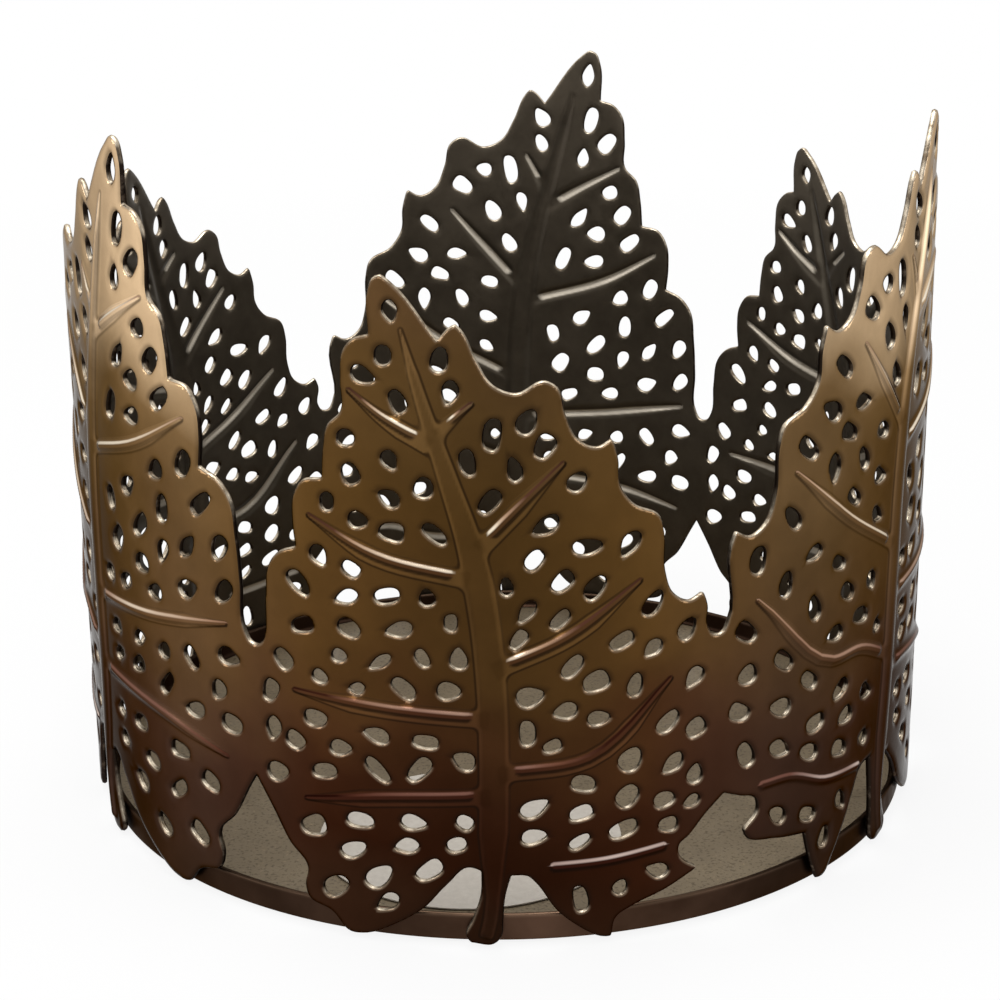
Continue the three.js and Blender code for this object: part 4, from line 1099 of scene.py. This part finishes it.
def leaf_lacquer():
    """Glossy tinted lacquer on metal, darkened towards the foot by painted reflection and palest on the tall
    leaves' tops, with painted light and shade along veins and beads, more softly on tall leaves. The lip of a
    cut edge gets a painted highlight where it faces up and painted shade where it faces down."""
    finish = Finish("leaf_lacquer", Metallic=1.0, Specular_Tint=(0.46, 0.45, 0.44, 1.0))
    drift = finish.uneven(45.0, 2.0, -0.006, 0.006)
    raised = finish.math("ADD", finish.part(finish.place, "Z"), drift)
    height = finish.span(raised, 0.0, TOP_MM * MM, 0.0, 1.0)
    tallness = finish.attribute("tallness")
    soft = finish.span(tallness, 0.5, 1.0, 1.0, 0.6)
    veined = lacquer_on_veins(finish, lacquer_ground(finish, height, tallness), soft)
    beaded = lacquer_on_beads(finish, veined, height, tallness, soft)
    edge, up = finish.attribute("cut_edge"), finish.facing_up()
    # Painted highlight on cut-edge lips that face up, painted shade on those that face down
    lip_highlight = finish.times(finish.span(edge, 0.5, 0.9, 0.0, 0.5), finish.span(up, 0.05, 0.3, 0.0, 1.0))
    lip_shade = finish.times(finish.span(edge, 0.1, 0.7, 0.0, 0.5), finish.span(up, 0.1, -0.1, 0.0, 1.0))
    finish.colour(finish.blend(lip_highlight, finish.blend(lip_shade, beaded, PAINTED_SHADE), LIP_HIGHLIGHT))
    finish.roughness(320.0, 3.0, 0.15, 0.23)
    finish.grain(520.0, 3.0, 0.00003, 0.4)
    return finish.material


def leaf_inside():
    """Satin gunmetal on the inner face, with a fine grain; its flanks are painted lighter or darker by their
    slope towards a fixed light, and the hollow backs of the beads get a painted highlight on the side that
    faces up and painted shade on the other."""
    finish = Finish("leaf_inside", Metallic=0.75)
    tone = finish.clouded((0.053, 0.041, 0.027), (0.082, 0.065, 0.045), 160.0, 5.0, 0.65)
    flank = finish.attribute("flank")
    # Painted light and shade on the inner flanks, by their slope towards a fixed light
    flank_lit = finish.blend(finish.span(flank, -0.06, -0.4, 0.0, 0.3), tone, (0.26, 0.23, 0.18))
    flank_shaded = finish.blend(finish.span(flank, 0.06, 0.4, 0.0, 0.5), flank_lit, (0.022, 0.018, 0.014))
    bead, near = finish.attribute("bead_off"), finish.attribute("bead_near")
    # Painted highlight and painted shade on the hollow backs of the beads
    pale = finish.times(finish.strip(bead, -1.4, -0.95, 0.15, 0.5), near)
    dark = finish.times(finish.strip(bead, 0.35, 0.65, 1.0, 1.3), near)
    hollow = finish.blend(finish.times(dark, 0.5), flank_shaded, (0.020, 0.016, 0.012))
    finish.colour(finish.blend(finish.times(pale, 0.85), hollow, (0.54, 0.48, 0.39)))
    finish.roughness(700.0, 2.0, 0.28, 0.38)
    finish.grain(1400.0, 2.0, 0.00002, 0.4)
    return finish.material


def cut_edge():
    """Cut edges: painted highlight where they face up, dark elsewhere with a few painted glints."""
    finish = Finish("cut_edge", Metallic=0.85, Specular_Tint=(0.4, 0.33, 0.27, 1.0))
    grain = finish.noise(620.0, 4.0, 0.65)
    edge_highlight = finish.ramp(grain, [(0.36, (0.20, 0.15, 0.10)), (0.6, (0.66, 0.57, 0.44))])
    dark_with_glints = finish.ramp(grain, [(0.55, (0.014, 0.009, 0.006)), (0.72, (0.10, 0.075, 0.055))])
    finish.colour(finish.blend(finish.span(finish.facing_up(), 0.1, 0.7, 0.0, 1.0), dark_with_glints, edge_highlight))
    finish.roughness(900.0, 2.0, 0.3, 0.42)
    return finish.material


def pan_floor():
    """Grey-brown satin floor with fine dark and pale specks."""
    finish = Finish("pan_floor", Metallic=0.35)
    tone = finish.clouded((0.163, 0.123, 0.074), (0.232, 0.180, 0.112), 70.0, 5.0, 0.6)
    dark, plain, pale = (0.55, 0.52, 0.48), (1.0, 1.0, 1.0), (1.5, 1.45, 1.4)
    stops = [(0.36, dark), (0.44, plain), (0.66, plain), (0.74, pale)]
    finish.colour(finish.tinted(tone, finish.ramp(finish.noise(2300.0, 2.0), stops)))
    finish.roughness(400.0, 3.0, 0.42, 0.6)
    finish.grain(1800.0, 3.0, 0.00005, 0.5)
    return finish.material


def pan_rim():
    """Dark brown lacquered rim, brighter and darker round the pan by painted reflection, and lighter along
    the top of its lip.
    """
    finish = Finish("pan_rim", Metallic=1.0, Specular_Tint=(0.5, 0.47, 0.45, 1.0))
    tone = finish.clouded((0.024, 0.0125, 0.0075), (0.043, 0.0235, 0.0150), 140.0, 4.0)
    lip = finish.span(finish.part(finish.place, "Z"), 0.0030, 0.0035, 0.0, 0.25)
    # Painted reflection brightens and darkens the rim round the pan
    finish.colour(finish.tinted(finish.blend(lip, tone, (0.13, 0.09, 0.06)), finish.by_turn(RIM_REFLECTION_SHARES)))
    finish.roughness(500.0, 3.0, 0.3, 0.48)
    return finish.material


def label_paper():
    """Plain uncoated white paper with a faint fibre."""
    finish = Finish("label_paper", Specular_IOR_Level=0.25)
    finish.colour(finish.clouded((0.56, 0.51, 0.445), (0.66, 0.61, 0.54), 900.0, 6.0, 0.7))
    finish.roughness(300.0, 2.0, 0.75, 0.9)
    finish.grain(1500.0, 4.0, 0.00003, 0.5)
    return finish.material


def seen_directly(tree):
    """1 for camera, glossy and transmission rays, else 0."""
    path = tree.nodes.new("ShaderNodeLightPath")
    total = path.outputs["Is Camera Ray"]
    for ray in ("Is Glossy Ray", "Is Transmission Ray"):
        most = tree.nodes.new("ShaderNodeMath")
        most.operation = "MAXIMUM"
        tree.links.new(total, most.inputs[0])
        tree.links.new(path.outputs[ray], most.inputs[1])
        total = most.outputs[0]
    return total


def surroundings():
    """White world, at full strength where it is seen directly and dimmer as a light."""
    world = bpy.data.worlds.new("surroundings")
    world.use_nodes = True
    tree = world.node_tree
    back = tree.nodes["Background"]
    back.inputs["Color"].default_value = (1, 1, 1, 1)
    strength = tree.nodes.new("ShaderNodeMapRange")
    strength.inputs[3].default_value, strength.inputs[4].default_value = 0.45, 1.0
    tree.links.new(seen_directly(tree), strength.inputs[0])
    tree.links.new(strength.outputs[0], back.inputs["Strength"])
    bpy.context.scene.world = world


def floor_white():
    """Matt white that keeps the object's shadow, and glows towards plain white with distance."""
    paint = Finish("floor_white", Base_Color=(0.9, 0.9, 0.9, 1.0), Roughness=0.9)
    far = paint.node("ShaderNodeVectorMath", operation="LENGTH")
    paint.link(paint.place, far.inputs[0])
    fade = paint.span(far.outputs["Value"], 0.1, 0.5, 0.88, 1.0)
    mix = paint.node("ShaderNodeMixShader")
    paint.link(paint.times(seen_directly(paint.tree), fade), mix.inputs[0])
    paint.link(paint.shader.outputs[0], mix.inputs[1])
    paint.link(paint.node("ShaderNodeEmission").outputs[0], mix.inputs[2])
    paint.link(mix.outputs[0], paint.tree.nodes["Material Output"].inputs["Surface"])
    return paint.material


def studio_floor(side=3.0, drop=0.0003):
    """Square floor a little below the pan's underside."""
    mesh = bpy.data.meshes.new("floor")
    corners = [(-side, -side, 0), (side, -side, 0), (side, side, 0), (-side, side, 0)]
    mesh.from_pydata(corners, [], [(0, 1, 2, 3)])
    mesh.materials.append(floor_white())
    floor = bpy.data.objects.new("floor", mesh)
    floor.location.z = -drop
    bpy.context.scene.collection.objects.link(floor)


def softbox(name, place, width, depth, power):
    """Rectangular lamp at a place, turned to the object's middle, with its width along X."""
    data = bpy.data.lights.new(name, "AREA")
    data.shape = "RECTANGLE"
    data.size, data.size_y, data.energy = width, depth, power
    made = bpy.data.objects.new(name, data)
    made.location = place
    made.rotation_euler = (Vector((0, 0, 0.05)) - Vector(place)).to_track_quat("-Z", "Y").to_euler()
    bpy.context.scene.collection.objects.link(made)


def photo_camera():
    """Camera at the photograph's angle: it looks down at the pan from the front, a little to the right
    of the front leaf's stalk, with a slight roll. Lengths are in pan radii."""
    tilt, turn, roll = math.radians(17.714), math.radians(2.765), math.radians(-0.569)
    back, left, raised = 5.44435, 0.00379, 0.63407
    ahead = Vector((0, math.cos(tilt), -math.sin(tilt)))
    up = Vector((0, math.sin(tilt), math.cos(tilt)))
    right = Vector((1, 0, 0))
    rolled_right = math.cos(roll) * right + math.sin(roll) * up
    rolled_up = math.cos(roll) * up - math.sin(roll) * right
    pose = Matrix((rolled_right, rolled_up, -ahead)).transposed().to_4x4()
    pose.translation = (-back * ahead - left * right + raised * up) * (PAN_RADIUS * MM)
    data = bpy.data.cameras.new("camera")
    data.sensor_width = 36.0
    data.lens = 2.11418 * data.sensor_width
    data.clip_start, data.clip_end = 0.01, 20.0
    camera = bpy.data.objects.new("camera", data)
    camera.matrix_world = Matrix.Rotation(turn, 4, "Z") @ pose
    bpy.context.scene.collection.objects.link(camera)
    bpy.context.scene.camera = camera


leaf_finishes = [leaf_lacquer(), leaf_inside(), cut_edge()]
leaf_band(FRONT_LEAVES, FRONT_SPREAD, 0.0, "leaf_band_front", leaf_finishes)
leaf_band(REAR_LEAVES, REAR_SPREAD, math.pi, "leaf_band_rear", leaf_finishes)
base_pan(pan_floor(), pan_rim())
floor_label(label_paper())
surroundings()
studio_floor()
softbox("top_softbox", (-0.06, 0.0, 0.68), 0.45, 0.35, 2.8)
softbox("front_softbox", (-0.10, -0.46, 0.46), 0.40, 0.14, 0.5)
softbox("left_softbox", (-0.70, -0.30, 0.42), 0.3, 0.3, 0.9)
softbox("right_softbox", (0.70, -0.25, 0.40), 0.3, 0.3, 0.7)
photo_camera()
bpy.context.scene.view_settings.view_transform = "Standard"

bpy.context.view_layer.update()
